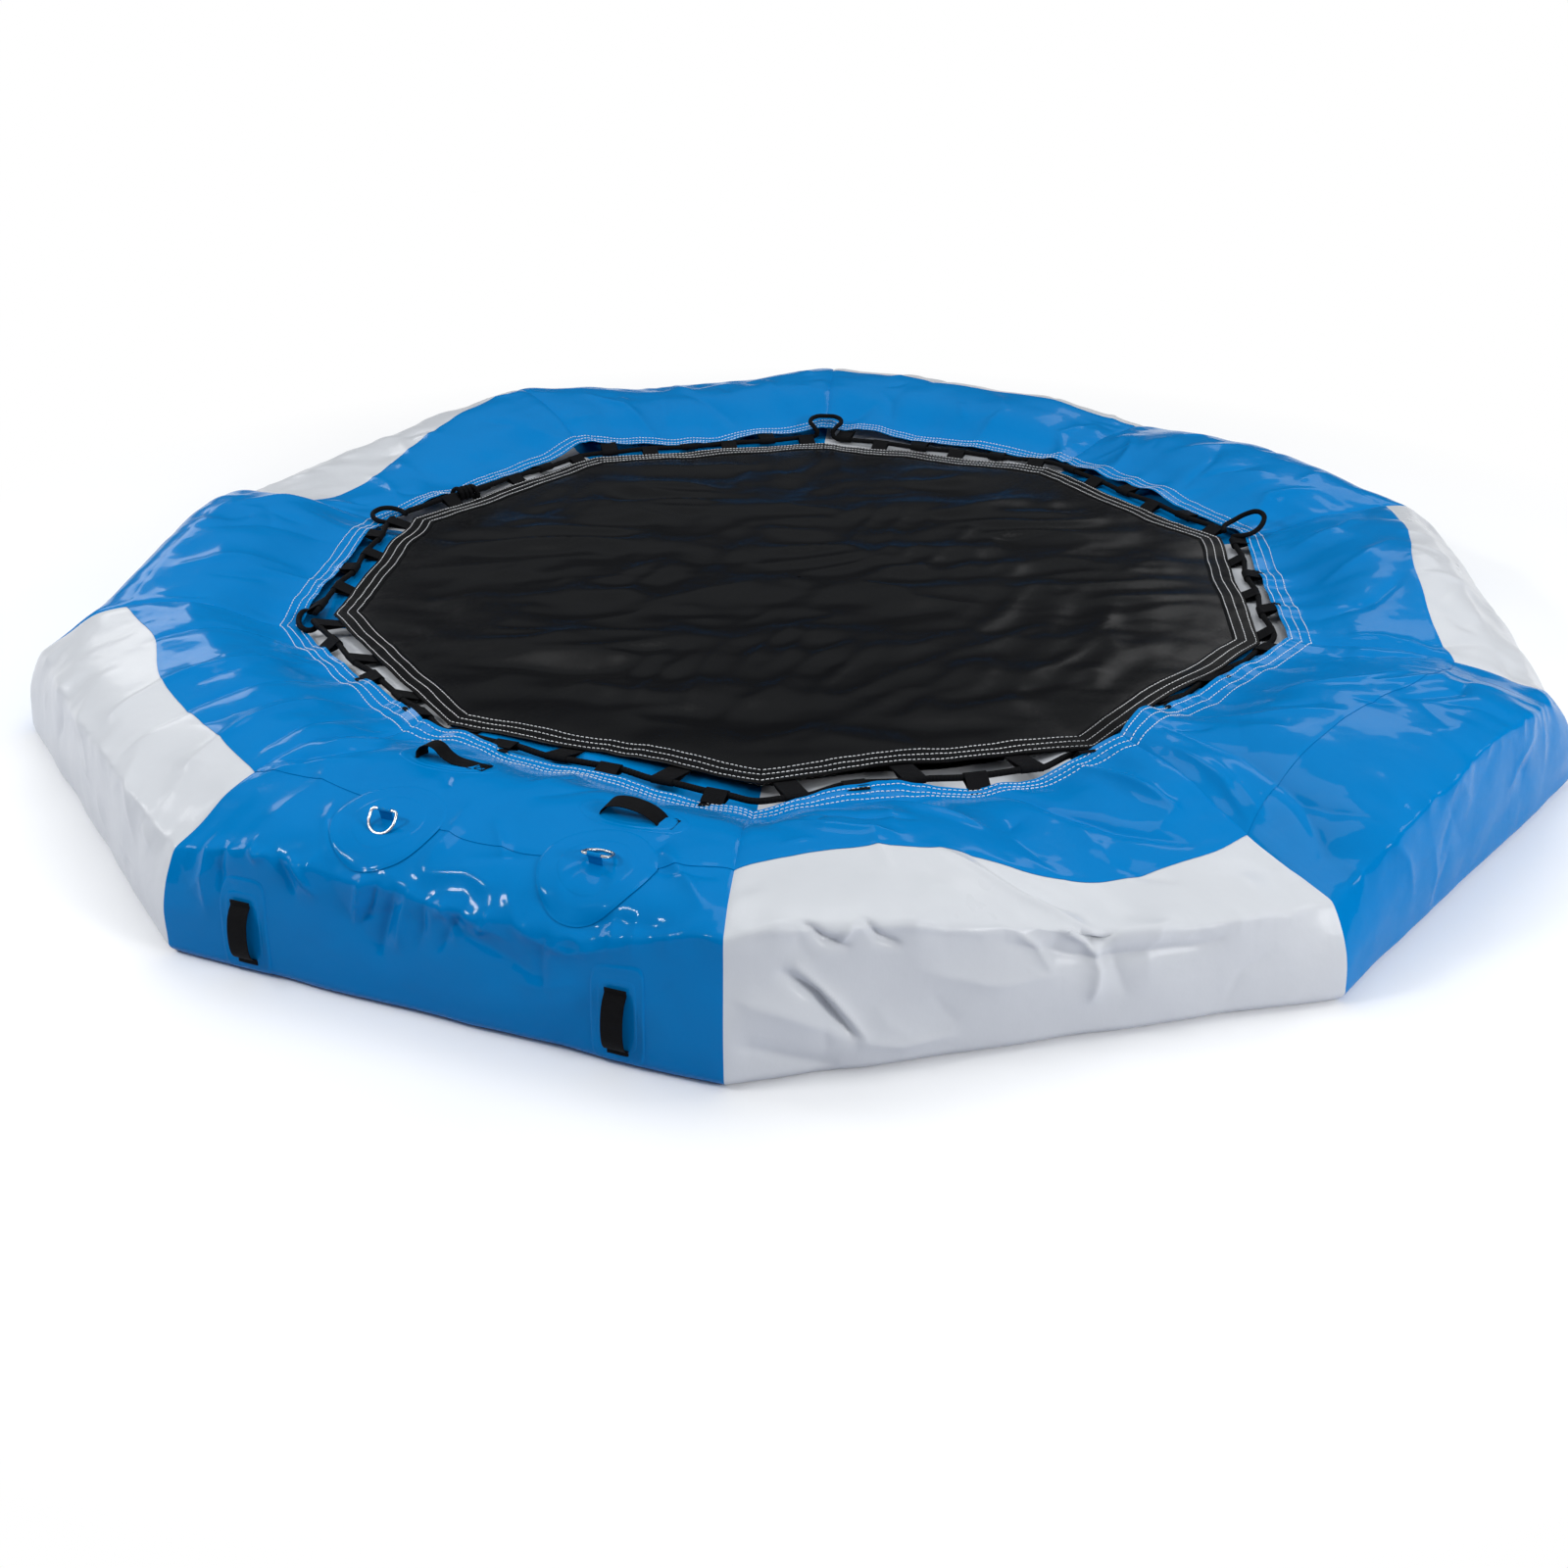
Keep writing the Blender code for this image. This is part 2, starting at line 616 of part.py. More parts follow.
def rounded_block(width, length, corner):
    """An upright block with round corners, to cut a patch out."""
    bm = bmesh.new()
    bmesh.ops.create_cube(bm, size=1)
    bmesh.ops.scale(bm, vec=(width, length, 2 * OVERRUN), verts=bm.verts)
    upright = [edge for edge in bm.edges if abs(edge.verts[0].co.z - edge.verts[1].co.z) > OVERRUN]
    bmesh.ops.bevel(
        bm, geom=upright, offset=corner, offset_type="OFFSET", affect="EDGES", segments=3, profile=0.5,
        material=-1,
    )
    return bm


def add_handle(name, span, rise, foot, shares, frame):
    """A strap from the end of one foot over its arch to the end of the other."""
    arch = [(along * span - span / 2, up * rise) for along, up in shares]
    path = [(-span / 2 - foot, 0), *arch, (span / 2 + foot, 0)]
    bm = swept_surface(path, HANDLE_WIDTH / 2)
    orient_upwards(bm)
    strap = add_part(name, mesh_of(name, bm), "webbing", frame)
    add_solidify(strap, HANDLE_THICKNESS, 1)


def ring_wire():
    """The D-ring's centre line about its straight leg: X along the leg, Y to its round end."""
    radius = (D_RING_INSIDE + D_RING_WIRE) / 2
    points = []
    for step in range(ROUND_STEPS + 1):
        angle = math.pi * step / ROUND_STEPS
        points.append((radius * math.cos(angle), D_RING_LEG + radius * math.sin(angle), 0))
    for way in (-1, 1):
        points += [(way * radius, D_RING_BEND, 0), (way * (radius - D_RING_BEND), 0, 0)][::-way]
    return points


def lean_angle():
    """How far the D-ring leans down from level until its round end lies on the patch."""
    reach = D_RING_LEG + (D_RING_INSIDE + D_RING_WIRE) / 2
    drop = RING_TAB_HEIGHT - D_RING_WIRE / 2 - CLEARANCE
    return math.asin(drop / reach)


def add_d_ring(end, seat):
    lean = RING_LEAN[end]
    turn = Matrix.Rotation(math.pi if lean > 0 else 0.0, 4, "Z") @ Matrix.Rotation(-lean_angle(), 4, "X")
    name = f"d_ring_{end}"
    curve = wire_curve(name, ring_wire(), D_RING_WIRE / 2, ROUND_RESOLUTION, closed=True)
    add_part(name, curve, "stainless", seat @ Matrix.Translation((0, 0, RING_TAB_HEIGHT)) @ turn)


def add_ring_tab(end, seat):
    """The tab: a strip whose two feet lie on the patch and whose fold holds the ring's straight leg."""
    half = RING_TAB_THICKNESS / 2
    leg = half + CLEARANCE
    fold = D_RING_WIRE / 2 + RING_TAB_CLEARANCE + half
    open_angle = math.asin(leg / fold)
    side_path = [(leg + RING_TAB_FOOT, half), (leg, half)]
    arc = []
    for step in range(ROUND_STEPS - 1):
        angle = -math.pi / 2 + open_angle + (2 * math.pi - 2 * open_angle) * step / (ROUND_STEPS - 2)
        arc.append((fold * math.cos(angle), RING_TAB_HEIGHT + fold * math.sin(angle)))
    path = side_path + arc + [(-across, up) for across, up in reversed(side_path)]
    bm = swept_surface(path, RING_TAB_WIDTH / 2)
    name = f"ring_tab_{end}"
    tab = add_part(name, mesh_of(name, bm), "blue_pvc", seat @ Matrix.Rotation(math.pi / 2, 4, "Z"))
    add_solidify(tab, RING_TAB_THICKNESS, 0)


def build_fittings():
    """The boarding side's D-rings and handles, with their patches and tabs."""
    on_apron = CLEARANCE + SKIN + CLEARANCE
    on_patch = on_apron + PATCH_THICKNESS + CLEARANCE
    for end, (setback, share) in RING_SPOTS.items():
        spot = section_at(RING_FACET, ACROSS_FLATS_HALF - setback)
        along = share * spot.x * math.tan(HALF_ANGLE)
        seat = facet_frame(BOARDING_SIDE, RING_FACET, spot, along, on_patch)
        patch_on(
            f"ring_patch_{end}", "blue_pvc", RING_FACET - 1, RING_FACET + 1, on_apron,
            oval_block(RING_PATCH_DIAMETER, RING_PATCH_DIAMETER), seat,
        )
        add_ring_tab(end, seat)
        add_d_ring(end, seat)
    for end, (setback, share) in TOP_HANDLE_SPOTS.items():
        facet = OUTER_TOP_FACET if end == "right" else INNER_TOP_FACET
        spot = section_at(facet, ACROSS_FLATS_HALF - setback)
        along = share * spot.x * math.tan(HALF_ANGLE)
        seat = facet_frame(BOARDING_SIDE, facet, spot, along, on_patch)
        patch_on(
            f"top_handle_patch_{end}", "blue_pvc", facet - 1, facet + 1, on_apron,
            oval_block(TOP_PATCH_LENGTH, TOP_PATCH_WIDTH), seat,
        )
        shares = ARCH_SHARES if end == "right" else SLUMP_SHARES
        add_handle(f"top_handle_{end}", TOP_HANDLE_SPAN, TOP_HANDLE_RISE, TOP_HANDLE_FOOT, shares, seat)
    upright = Matrix.Rotation(math.pi / 2, 4, "Z")
    facet = OUTER_FACET_INDEX
    wall = tube_section()[facet]
    lift = CLEARANCE + PATCH_THICKNESS + CLEARANCE
    for end, (height, share) in SIDE_HANDLE_SPOTS.items():
        along = share * wall.x * math.tan(HALF_ANGLE)
        seat = facet_frame(BOARDING_SIDE, facet, Vector((wall.x, height)), along, lift)
        patch_spot = Vector((wall.x, SIDE_PATCH_HEIGHT))
        patch_on(
            f"side_handle_patch_{end}", "blue_pvc", facet - 1, facet + 1, CLEARANCE,
            rounded_block(SIDE_PATCH_WIDTH, SIDE_PATCH_LENGTH, SIDE_PATCH_CORNER),
            facet_frame(BOARDING_SIDE, facet, patch_spot, along, 0.0),
        )
        add_handle(
            f"side_handle_{end}", SIDE_HANDLE_SPAN, SIDE_HANDLE_RISE, SIDE_HANDLE_FOOT, ARCH_SHARES,
            seat @ upright,
        )


def rod(radius, low, high, steps=ROUND_STEPS):
    """A plain cylinder about Z between two heights."""
    bm = bmesh.new()
    bmesh.ops.create_cone(
        bm, cap_ends=True, segments=steps, radius1=radius, radius2=radius, depth=high - low
    )
    bmesh.ops.translate(bm, verts=bm.verts, vec=(0, 0, (low + high) / 2))
    return bm


def block(width, length, low, high, shift=0.0):
    """A box about Z, its length along Y, moved that far along Y."""
    bm = bmesh.new()
    bmesh.ops.create_cube(bm, size=1)
    bmesh.ops.scale(bm, vec=(width, length, high - low), verts=bm.verts)
    bmesh.ops.translate(bm, verts=bm.verts, vec=(0, shift, (low + high) / 2))
    return bm


def cross_rod(radius, left, right):
    """A cylinder along X between two places, about the origin."""
    bm = rod(radius, left, right)
    bmesh.ops.rotate(bm, verts=bm.verts, cent=(0, 0, 0), matrix=Matrix.Rotation(math.pi / 2, 3, "Y"))
    return bm


def build_valve_body(axis, hinge):
    """The body through the wall: flange, sleeve, seat, the bridge that guides the stem, and two lugs."""
    bore, sleeve, top = SLEEVE_BORE / 2, SLEEVE_OUTSIDE / 2, CLEARANCE + FLANGE_THICKNESS
    outline = [
        (FLANGE_DIAMETER / 2, top), (FLANGE_DIAMETER / 2, CLEARANCE), (sleeve, CLEARANCE),
        (sleeve, -SLEEVE_DEPTH), (SEAT_BORE / 2, -SLEEVE_DEPTH),
        (SEAT_BORE / 2, SEAT_THICKNESS - SLEEVE_DEPTH), (bore, SEAT_THICKNESS - SLEEVE_DEPTH), (bore, top),
    ]
    body = add_turned("valve_body", outline, "valve_plastic", VALVE_STEPS, parent=axis)
    bridge_top = BRIDGE_THICKNESS - BRIDGE_DEPTH
    bridge = block(BRIDGE_WIDTH, SLEEVE_BORE + (sleeve - bore), -BRIDGE_DEPTH, bridge_top)
    add_boolean(body, add_cutter("valve_bridge", bridge, parent=axis), "UNION")
    knuckle = CAP_ARM_WIDTH / 2 + CLEARANCE + HINGE_LUG_WIDTH / 2
    eye = HINGE_EYE_DIAMETER / 2
    for end, way in (("left", -1), ("right", 1)):
        lug = block(
            HINGE_LUG_WIDTH, HINGE_LUG_REACH + eye, CLEARANCE - HINGE_HEIGHT, eye,
            (eye - HINGE_LUG_REACH) / 2,
        )
        bmesh.ops.translate(lug, verts=lug.verts, vec=(way * knuckle, 0, 0))
        add_boolean(body, add_cutter(f"valve_lug_{end}", lug, parent=hinge), "UNION")
    hole = add_cutter(
        "valve_stem_hole", rod(STEM_DIAMETER / 2 + STEM_CLEARANCE, -SLEEVE_DEPTH, STEM_RECESS), parent=axis
    )
    add_boolean(body, hole, "DIFFERENCE")
    pin_hole = cross_rod(HINGE_PIN_DIAMETER / 2 + HINGE_PIN_CLEARANCE, -OVERRUN, OVERRUN)
    add_boolean(body, add_cutter("valve_pin_hole", pin_hole, parent=hinge), "DIFFERENCE")


def build_valve_inside(axis):
    """The nut inside the wall, the push stem with its sealing disc, and the spring that closes it."""
    inside = -SKIN - CLEARANCE
    sleeve = SLEEVE_OUTSIDE / 2 + CLEARANCE
    nut = [
        (NUT_DIAMETER / 2, inside), (NUT_DIAMETER / 2, inside - NUT_THICKNESS),
        (sleeve, inside - NUT_THICKNESS), (sleeve, inside),
    ]
    add_turned("valve_nut", nut, "valve_plastic", VALVE_STEPS, parent=axis)

    rod_radius, button, disc = STEM_DIAMETER / 2, BUTTON_DIAMETER / 2, DISC_DIAMETER / 2
    button_low = -STEM_RECESS - BUTTON_THICKNESS
    disc_top = -SLEEVE_DEPTH - CLEARANCE
    stem = [
        (0, -STEM_RECESS), (button, -STEM_RECESS), (button, button_low), (rod_radius, button_low),
        (rod_radius, disc_top), (disc, disc_top), (disc, disc_top - DISC_THICKNESS),
        (0, disc_top - DISC_THICKNESS),
    ]
    add_turned("valve_stem", stem, "valve_plastic", VALVE_STEPS, parent=axis)

    low = BRIDGE_THICKNESS - BRIDGE_DEPTH + CLEARANCE + SPRING_WIRE / 2
    high = button_low - CLEARANCE - SPRING_WIRE / 2
    radius = (SPRING_DIAMETER - SPRING_WIRE) / 2
    turns = coil_places(radius, low, high, SPRING_TURNS, SPRING_POINTS_PER_TURN)
    curve = wire_curve("valve_spring", turns, SPRING_WIRE / 2, 1)
    add_part("valve_spring", curve, "stainless", parent=axis)
    gap = least_gap(turns, SPRING_POINTS_PER_TURN, SPRING_WIRE)
    print(f"least gap between the spring's turns {gap:.5f} m")


def build_valve_cap(hinge):
    """The cap with its plug, arm and eye, modelled about its hinge's axis, and the hinge's pin."""
    top = CLEARANCE + FLANGE_THICKNESS - HINGE_HEIGHT
    low, high = top + CLEARANCE, top + CLEARANCE + CAP_THICKNESS
    plug = SLEEVE_BORE / 2 - CAP_PLUG_CLEARANCE
    outline = [
        (0, high), (CAP_DIAMETER / 2, high), (CAP_DIAMETER / 2, low), (plug, low),
        (plug, low - CLEARANCE - CAP_PLUG_DEPTH), (0, low - CLEARANCE - CAP_PLUG_DEPTH),
    ]
    bm = bmesh.new()
    verts = [bm.verts.new((radius, -HINGE_OFFSET, height)) for radius, height in outline]
    for pair in zip(verts, verts[1:]):
        bm.edges.new(pair)
    bmesh.ops.spin(
        bm, geom=[*bm.verts, *bm.edges], cent=(0, -HINGE_OFFSET, 0), axis=(0, 0, 1), angle=2 * math.pi,
        steps=VALVE_STEPS, use_merge=True,
    )
    bmesh.ops.remove_doubles(bm, verts=bm.verts, dist=CLEARANCE / 3)
    bmesh.ops.recalc_face_normals(bm, faces=bm.faces)
    cap = add_part("valve_cap", mesh_of("valve_cap", bm), "valve_plastic", parent=hinge)
    reach = HINGE_OFFSET - CAP_DIAMETER / 2 + CAP_THICKNESS
    arm = block(CAP_ARM_WIDTH, reach, low, high, -reach / 2)
    add_boolean(cap, add_cutter("cap_arm", arm, parent=hinge), "UNION")
    eye = cross_rod(HINGE_EYE_DIAMETER / 2, -CAP_ARM_WIDTH / 2, CAP_ARM_WIDTH / 2)
    add_boolean(cap, add_cutter("cap_eye", eye, parent=hinge), "UNION")
    hole = cross_rod(HINGE_PIN_DIAMETER / 2 + HINGE_PIN_CLEARANCE, -OVERRUN, OVERRUN)
    add_boolean(cap, add_cutter("cap_pin_hole", hole, parent=hinge), "DIFFERENCE")
    reach = CAP_ARM_WIDTH / 2 + CLEARANCE + HINGE_LUG_WIDTH
    pin = cross_rod(HINGE_PIN_DIAMETER / 2, -reach, reach)
    bmesh.ops.recalc_face_normals(pin, faces=pin.faces)
    add_part("valve_hinge_pin", mesh_of("valve_hinge_pin", pin), "stainless", parent=hinge)


def build_valve():
    """The inflation valve in the outer wall of the side that faces +Y."""
    wall = tube_section()[OUTER_FACET_INDEX]
    seat = facet_frame(VALVE_SIDE, OUTER_FACET_INDEX, Vector((wall.x, VALVE_HEIGHT)), 0.0, 0.0)
    axis = bpy.data.objects.new("valve_axis", None)
    hinge = bpy.data.objects.new("valve_hinge_axis", None)
    for empty in (axis, hinge):
        PARTS.objects.link(empty)
    axis.matrix_local = seat
    hinge.parent = axis
    hinge.matrix_local = Matrix.Translation((0, HINGE_OFFSET, HINGE_HEIGHT))
    hole = add_cutter(
        "wall_hole", rod(SLEEVE_OUTSIDE / 2 + CLEARANCE, -OVERRUN, OVERRUN, VALVE_STEPS), parent=axis
    )
    add_boolean(PARTS.objects[f"tube_segment_{VALVE_SIDE:02}"], hole, "DIFFERENCE")
    build_valve_body(axis, hinge)
    build_valve_inside(axis)
    build_valve_cap(hinge)


def main():
    build_ring()
    hem_half = build_mat()
    mat_centre, apron_centre = build_tapes(hem_half)
    build_rope(mat_centre, apron_centre)
    build_fittings()
    build_valve()
    print(f"D-ring leans {math.degrees(lean_angle()):.1f} degrees, rope level {mat_centre.y:.4f} m")


main()
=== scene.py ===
"""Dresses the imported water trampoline: a slack ten-sided ring of coated cloth, its apron, the laced
jump mat, the boarding side's fittings and the valve, on a pale floor in soft light.

Metres, +Z up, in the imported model's frame. A side's own frame has X out through the side's middle
and Y along the side. A place on the ring's skin is given by its share of the way from the side's
middle to a corner, and its way up the wall and in over the top in metres.
"""

import logging
import math
from dataclasses import dataclass, field
from enum import Enum
from typing import Callable, Sequence

import bmesh
import bpy
import numpy as np
from mathutils import Matrix, Vector


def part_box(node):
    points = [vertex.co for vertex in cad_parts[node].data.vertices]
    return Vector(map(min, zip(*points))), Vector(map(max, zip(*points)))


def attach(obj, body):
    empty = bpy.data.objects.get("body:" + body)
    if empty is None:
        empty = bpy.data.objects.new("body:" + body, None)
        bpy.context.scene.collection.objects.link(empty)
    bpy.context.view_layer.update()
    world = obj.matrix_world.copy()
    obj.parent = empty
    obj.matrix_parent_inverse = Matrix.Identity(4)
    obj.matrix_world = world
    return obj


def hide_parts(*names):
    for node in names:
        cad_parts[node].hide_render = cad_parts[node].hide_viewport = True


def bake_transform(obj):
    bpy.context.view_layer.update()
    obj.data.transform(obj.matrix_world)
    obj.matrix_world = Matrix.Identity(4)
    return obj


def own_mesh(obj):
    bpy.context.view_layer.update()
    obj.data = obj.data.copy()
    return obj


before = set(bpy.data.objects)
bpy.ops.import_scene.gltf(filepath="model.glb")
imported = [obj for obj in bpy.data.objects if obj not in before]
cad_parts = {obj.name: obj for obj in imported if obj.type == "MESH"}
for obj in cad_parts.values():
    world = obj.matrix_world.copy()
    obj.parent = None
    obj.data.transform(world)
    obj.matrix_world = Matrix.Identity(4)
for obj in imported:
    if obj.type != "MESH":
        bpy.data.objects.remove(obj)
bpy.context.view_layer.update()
LOG = logging.getLogger("water_trampoline")

Array = np.ndarray
Pair = tuple[float, float]
Point = tuple[float, float, float]
Piece = bpy.types.Object
Socket = bpy.types.NodeSocket
Surface = bmesh.types.BMesh

SIDES = 10
TURN = 360.0 / SIDES
# How far along a side its corner lies for each metre out.
SLANT = math.tan(math.pi / SIDES)


class Body(Enum):
    """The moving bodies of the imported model."""

    RING = "ring"
    MAT = "mat"
    D_RING_LEFT = "d_ring_left"
    D_RING_RIGHT = "d_ring_right"


# --- Shader maths ---


class Signal:
    """A node's number output that can be used in Python expressions."""

    def __init__(self, weaver: "Weaver", socket: Socket) -> None:
        """Keeps the socket and the node tree that it belongs to."""
        self.weaver = weaver
        self.socket = socket

    def _maths(self, operation: str, *values: "Signal | float") -> "Signal":
        """Adds a Math node over the values."""
        node = self.weaver.node("ShaderNodeMath", {"operation": operation}, *values)
        return Signal(self.weaver, node[0])

    def __add__(self, other: "Signal | float") -> "Signal":
        """self + other."""
        return self._maths("ADD", self, other)

    def __sub__(self, other: "Signal | float") -> "Signal":
        """self - other."""
        return self._maths("SUBTRACT", self, other)

    def __rsub__(self, other: float) -> "Signal":
        """other - self."""
        return self._maths("SUBTRACT", other, self)

    def __mul__(self, other: "Signal | float") -> "Signal":
        """self * other."""
        return self._maths("MULTIPLY", self, other)

    __radd__ = __add__
    __rmul__ = __mul__

    def sine(self) -> "Signal":
        """The sine of self."""
        return self._maths("SINE", self)

    def clamped(self) -> "Signal":
        """self held between 0 and 1."""
        return Signal(self.weaver, self.weaver.node("ShaderNodeClamp", {}, self)[0])


class Weaver:
    """Builds one material's nodes."""

    def __init__(self, name: str) -> None:
        """Starts an empty node material with a Principled shader and its output."""
        self.material = bpy.data.materials.new(name)
        self.material.use_nodes = True
        self.nodes = self.material.node_tree.nodes
        self.links = self.material.node_tree.links
        self.shader = self.nodes["Principled BSDF"]

    def node(self, kind: str, settings: dict[str, object], *values: object, **named: object) -> list:
        """Adds a node.

        Args:
            kind: the node's type.
            settings: properties that are set before the sockets are filled.
            *values: values or links of the sockets, in order. None leaves a socket as it is.
            **named: values or links of sockets by name, with _ for a space.

        Returns:
            The node's visible output sockets.
        """
        made = self.nodes.new(kind)
        for key, value in settings.items():
            if key == "stops":
                ramp = made.color_ramp
                for index, (place, colour) in enumerate(value):
                    stop = ramp.elements[index] if index < 2 else ramp.elements.new(place)
                    stop.position, stop.color = place, (*colour, 1.0)
            else:
                setattr(made, key, value)
        sockets = [socket for socket in made.inputs if socket.enabled]
        pairs = list(zip(sockets, values))
        pairs += [(made.inputs[key.replace("_", " ")], value) for key, value in named.items()]
        for socket, value in pairs:
            self.fill(socket, value)
        return [socket for socket in made.outputs if socket.enabled]

    def fill(self, socket: Socket, value: object) -> None:
        """Links or sets one socket."""
        if isinstance(value, Signal):
            value = value.socket
        if isinstance(value, Socket):
            self.links.new(value, socket)
        elif value is not None:
            socket.default_value = value

    def place(self) -> Socket:
        """The Object coordinates, in metres."""
        return self.node("ShaderNodeTexCoord", {})[3]

    def cloth_place(self) -> Socket:
        """The piece's own UV map, in metres over the cloth."""
        return self.node("ShaderNodeTexCoord", {})[2]

    def noise(self, place: object, scale: float, detail: float = 2.0, roughness: float = 0.5) -> Signal:
        """Plain noise from 0 to 1."""
        out = self.node("ShaderNodeTexNoise", {}, place, scale, detail, roughness)
        return Signal(self, out[0])

    def stretched(self, place: object, scale: Point, turn: float = 0.0) -> Socket:
        """The place scaled differently each way, after a turn about Z."""
        return self.node("ShaderNodeMapping", {}, place, None, (0.0, 0.0, turn), scale)[0]

    def parts(self, place: object) -> tuple["Signal", "Signal", "Signal"]:
        """The three numbers of a place."""
        out = self.node("ShaderNodeSeparateXYZ", {}, place)
        return Signal(self, out[0]), Signal(self, out[1]), Signal(self, out[2])

    def blend(self, share: object, first: Point, second: Point) -> Socket:
        """A colour between two, by the share."""
        out = self.node("ShaderNodeMix", {"data_type": "RGBA"}, share, (*first, 1.0), (*second, 1.0))
        return out[0]

    def relief(self, height: object, depth: float, strength: float = 1.0) -> Socket:
        """A bump from a height of 0 to 1, that many metres deep."""
        return self.node("ShaderNodeBump", {}, strength, depth, None, height)[0]

    def finish(self, **inputs: object) -> bpy.types.Material:
        """Fills the shader's sockets by name, with _ for a space, and returns the material."""
        for key, value in inputs.items():
            self.fill(self.shader.inputs[key.replace("_", " ")], value)
        return self.material


# --- Finishes ---


@dataclass(frozen=True)
class CoatedCloth:
    """Plasticised cloth: glossy, faintly mottled, with the scrim under the coat and rubbed places."""

    name: str
    slot: str
    colour: Point
    shade: Point
    rubbed: Point
    gloss: float
    coat: float
    tint: Point
    level: float

    def material(self) -> bpy.types.Material:
        """The coated cloth as nodes."""
        make = Weaver(self.name)
        place = make.place()
        mottle = make.noise(place, 3.1, 4.0, 0.6)
        grime = (make.noise(place, 11.0, 5.0, 0.65) * 2.6 - 1.35).clamped()
        rubbing = make.noise(make.stretched(place, (9.0, 22.0, 9.0)), 3.0, 6.0, 0.7)
        scuff = (rubbing * 5.0 - 3.1).clamped()
        tone = make.blend(mottle * 0.7 + grime * 0.3, self.colour, self.shade)
        rubbed = (*self.rubbed, 1.0)
        worn = make.node("ShaderNodeMix", {"data_type": "RGBA"}, scuff * 0.22, tone, rubbed)[0]
        east, north, up = make.parts(place)
        scrim = (east * 2400.0).sine() * (north * 2400.0).sine() * 0.5 + (up * 2400.0).sine() * 0.25
        handled = make.noise(place, 55.0, 4.0, 0.6)
        skin = handled * 0.8 + scrim * 0.06
        roughness = self.gloss + mottle * 0.10 + scuff * 0.16 + grime * 0.05
        return make.finish(
            Base_Color=worn, Roughness=roughness, Normal=make.relief(skin, 0.0012, 0.35),
            Coat_Weight=self.coat, Coat_Roughness=0.035, Coat_IOR=1.45, IOR=1.5,
            Specular_IOR_Level=self.level, Specular_Tint=(*self.tint, 1.0),
        )


@dataclass(frozen=True)
class MeshCloth:
    """Black woven mat cloth with a satin sheen and dusty patches."""

    name: str
    slot: str
    colour: Point
    dust: Point
    pitch: float
    roughness: float
    shine: float

    def material(self) -> bpy.types.Material:
        """The woven mat as nodes."""
        make = Weaver(self.name)
        place = make.place()
        east, north, _ = make.parts(place)
        turns = 2 * math.pi / self.pitch
        weave = ((east * turns).sine() * (north * turns).sine()) * 0.5 + 0.5
        cloud = (make.noise(place, 2.3, 5.0, 0.62) * 2.2 - 0.75).clamped()
        lines = make.noise(make.stretched(place, (2.0, 14.0, 1.0), 0.5), 3.0, 4.0, 0.6)
        streak = (lines * 3.0 - 1.3).clamped()
        tone = make.blend(cloud * 0.55 + streak * 0.25 + weave * 0.2, self.colour, self.dust)
        roughness = self.roughness + cloud * 0.12 - weave * 0.05
        return make.finish(
            Base_Color=tone, Roughness=roughness, Normal=make.relief(weave, 0.0004, 0.12),
            Specular_IOR_Level=self.shine,
        )


@dataclass(frozen=True)
class Webbing:
    """Black woven strap: ribs across, selvedges along, fuzzed and a little faded."""

    name: str
    slot: str
    colour: Point
    faded: Point
    rib: float

    def material(self) -> bpy.types.Material:
        """The strap's weave as nodes, on the strap's own map."""
        make = Weaver(self.name)
        across, along, _ = make.parts(make.cloth_place())
        turns = 2 * math.pi / self.rib
        ribs = (along * turns).sine() * 0.5 + 0.5
        chevron = ((along + (across * turns * 0.5).sine() * (self.rib * 0.35)) * (turns * 0.5)).sine()
        weave = ribs * 0.6 + chevron * 0.2 + 0.2
        fade = (make.noise(make.place(), 35.0, 4.0, 0.6) * 2.4 - 0.9).clamped()
        tone = make.blend(fade * 0.6 + weave * 0.35, self.colour, self.faded)
        return make.finish(
            Base_Color=tone, Roughness=fade * 0.2 + 0.60, Normal=make.relief(weave, 0.0007, 0.7),
            Specular_IOR_Level=0.06,
        )


@dataclass(frozen=True)
class Braid:
    """Black braided rope: crossing strands round the core, fuzzed."""

    name: str
    slot: str
    colour: Point
    faded: Point
    strands: int
    lay: float

    def material(self) -> bpy.types.Material:
        """The braid as nodes, on the rope's own map: round it, then along it in metres."""
        make = Weaver(self.name)
        around, along, _ = make.parts(make.cloth_place())
        turn = around * (2 * math.pi * self.strands)
        climb = along * (2 * math.pi / self.lay)
        braid = ((turn + climb).sine() * (turn - climb).sine()) * 0.5 + 0.5
        fuzz = make.noise(make.place(), 240.0, 3.0, 0.7)
        tone = make.blend(braid * 0.5 + fuzz * 0.35, self.colour, self.faded)
        return make.finish(
            Base_Color=tone, Roughness=fuzz * 0.25 + 0.55,
            Normal=make.relief(braid + fuzz * 0.25, 0.0011, 0.9), Specular_IOR_Level=0.06,
        )


@dataclass(frozen=True)
class Thread:
    """White sewing thread with its twist, slightly soiled."""

    name: str
    slot: str
    colour: Point
    soiled: Point

    def material(self) -> bpy.types.Material:
        """The thread as nodes."""
        make = Weaver(self.name)
        place = make.place()
        soil = (make.noise(place, 9.0, 3.0, 0.6) * 2.4 - 0.8).clamped()
        twist = make.noise(make.stretched(place, (900.0, 900.0, 900.0)), 1.0, 2.0)
        tone = make.blend(soil * 0.6 + twist * 0.2, self.colour, self.soiled)
        return make.finish(
            Base_Color=tone, Roughness=0.6 + soil * 0.2, Normal=make.relief(twist, 0.0003, 0.6)
        )


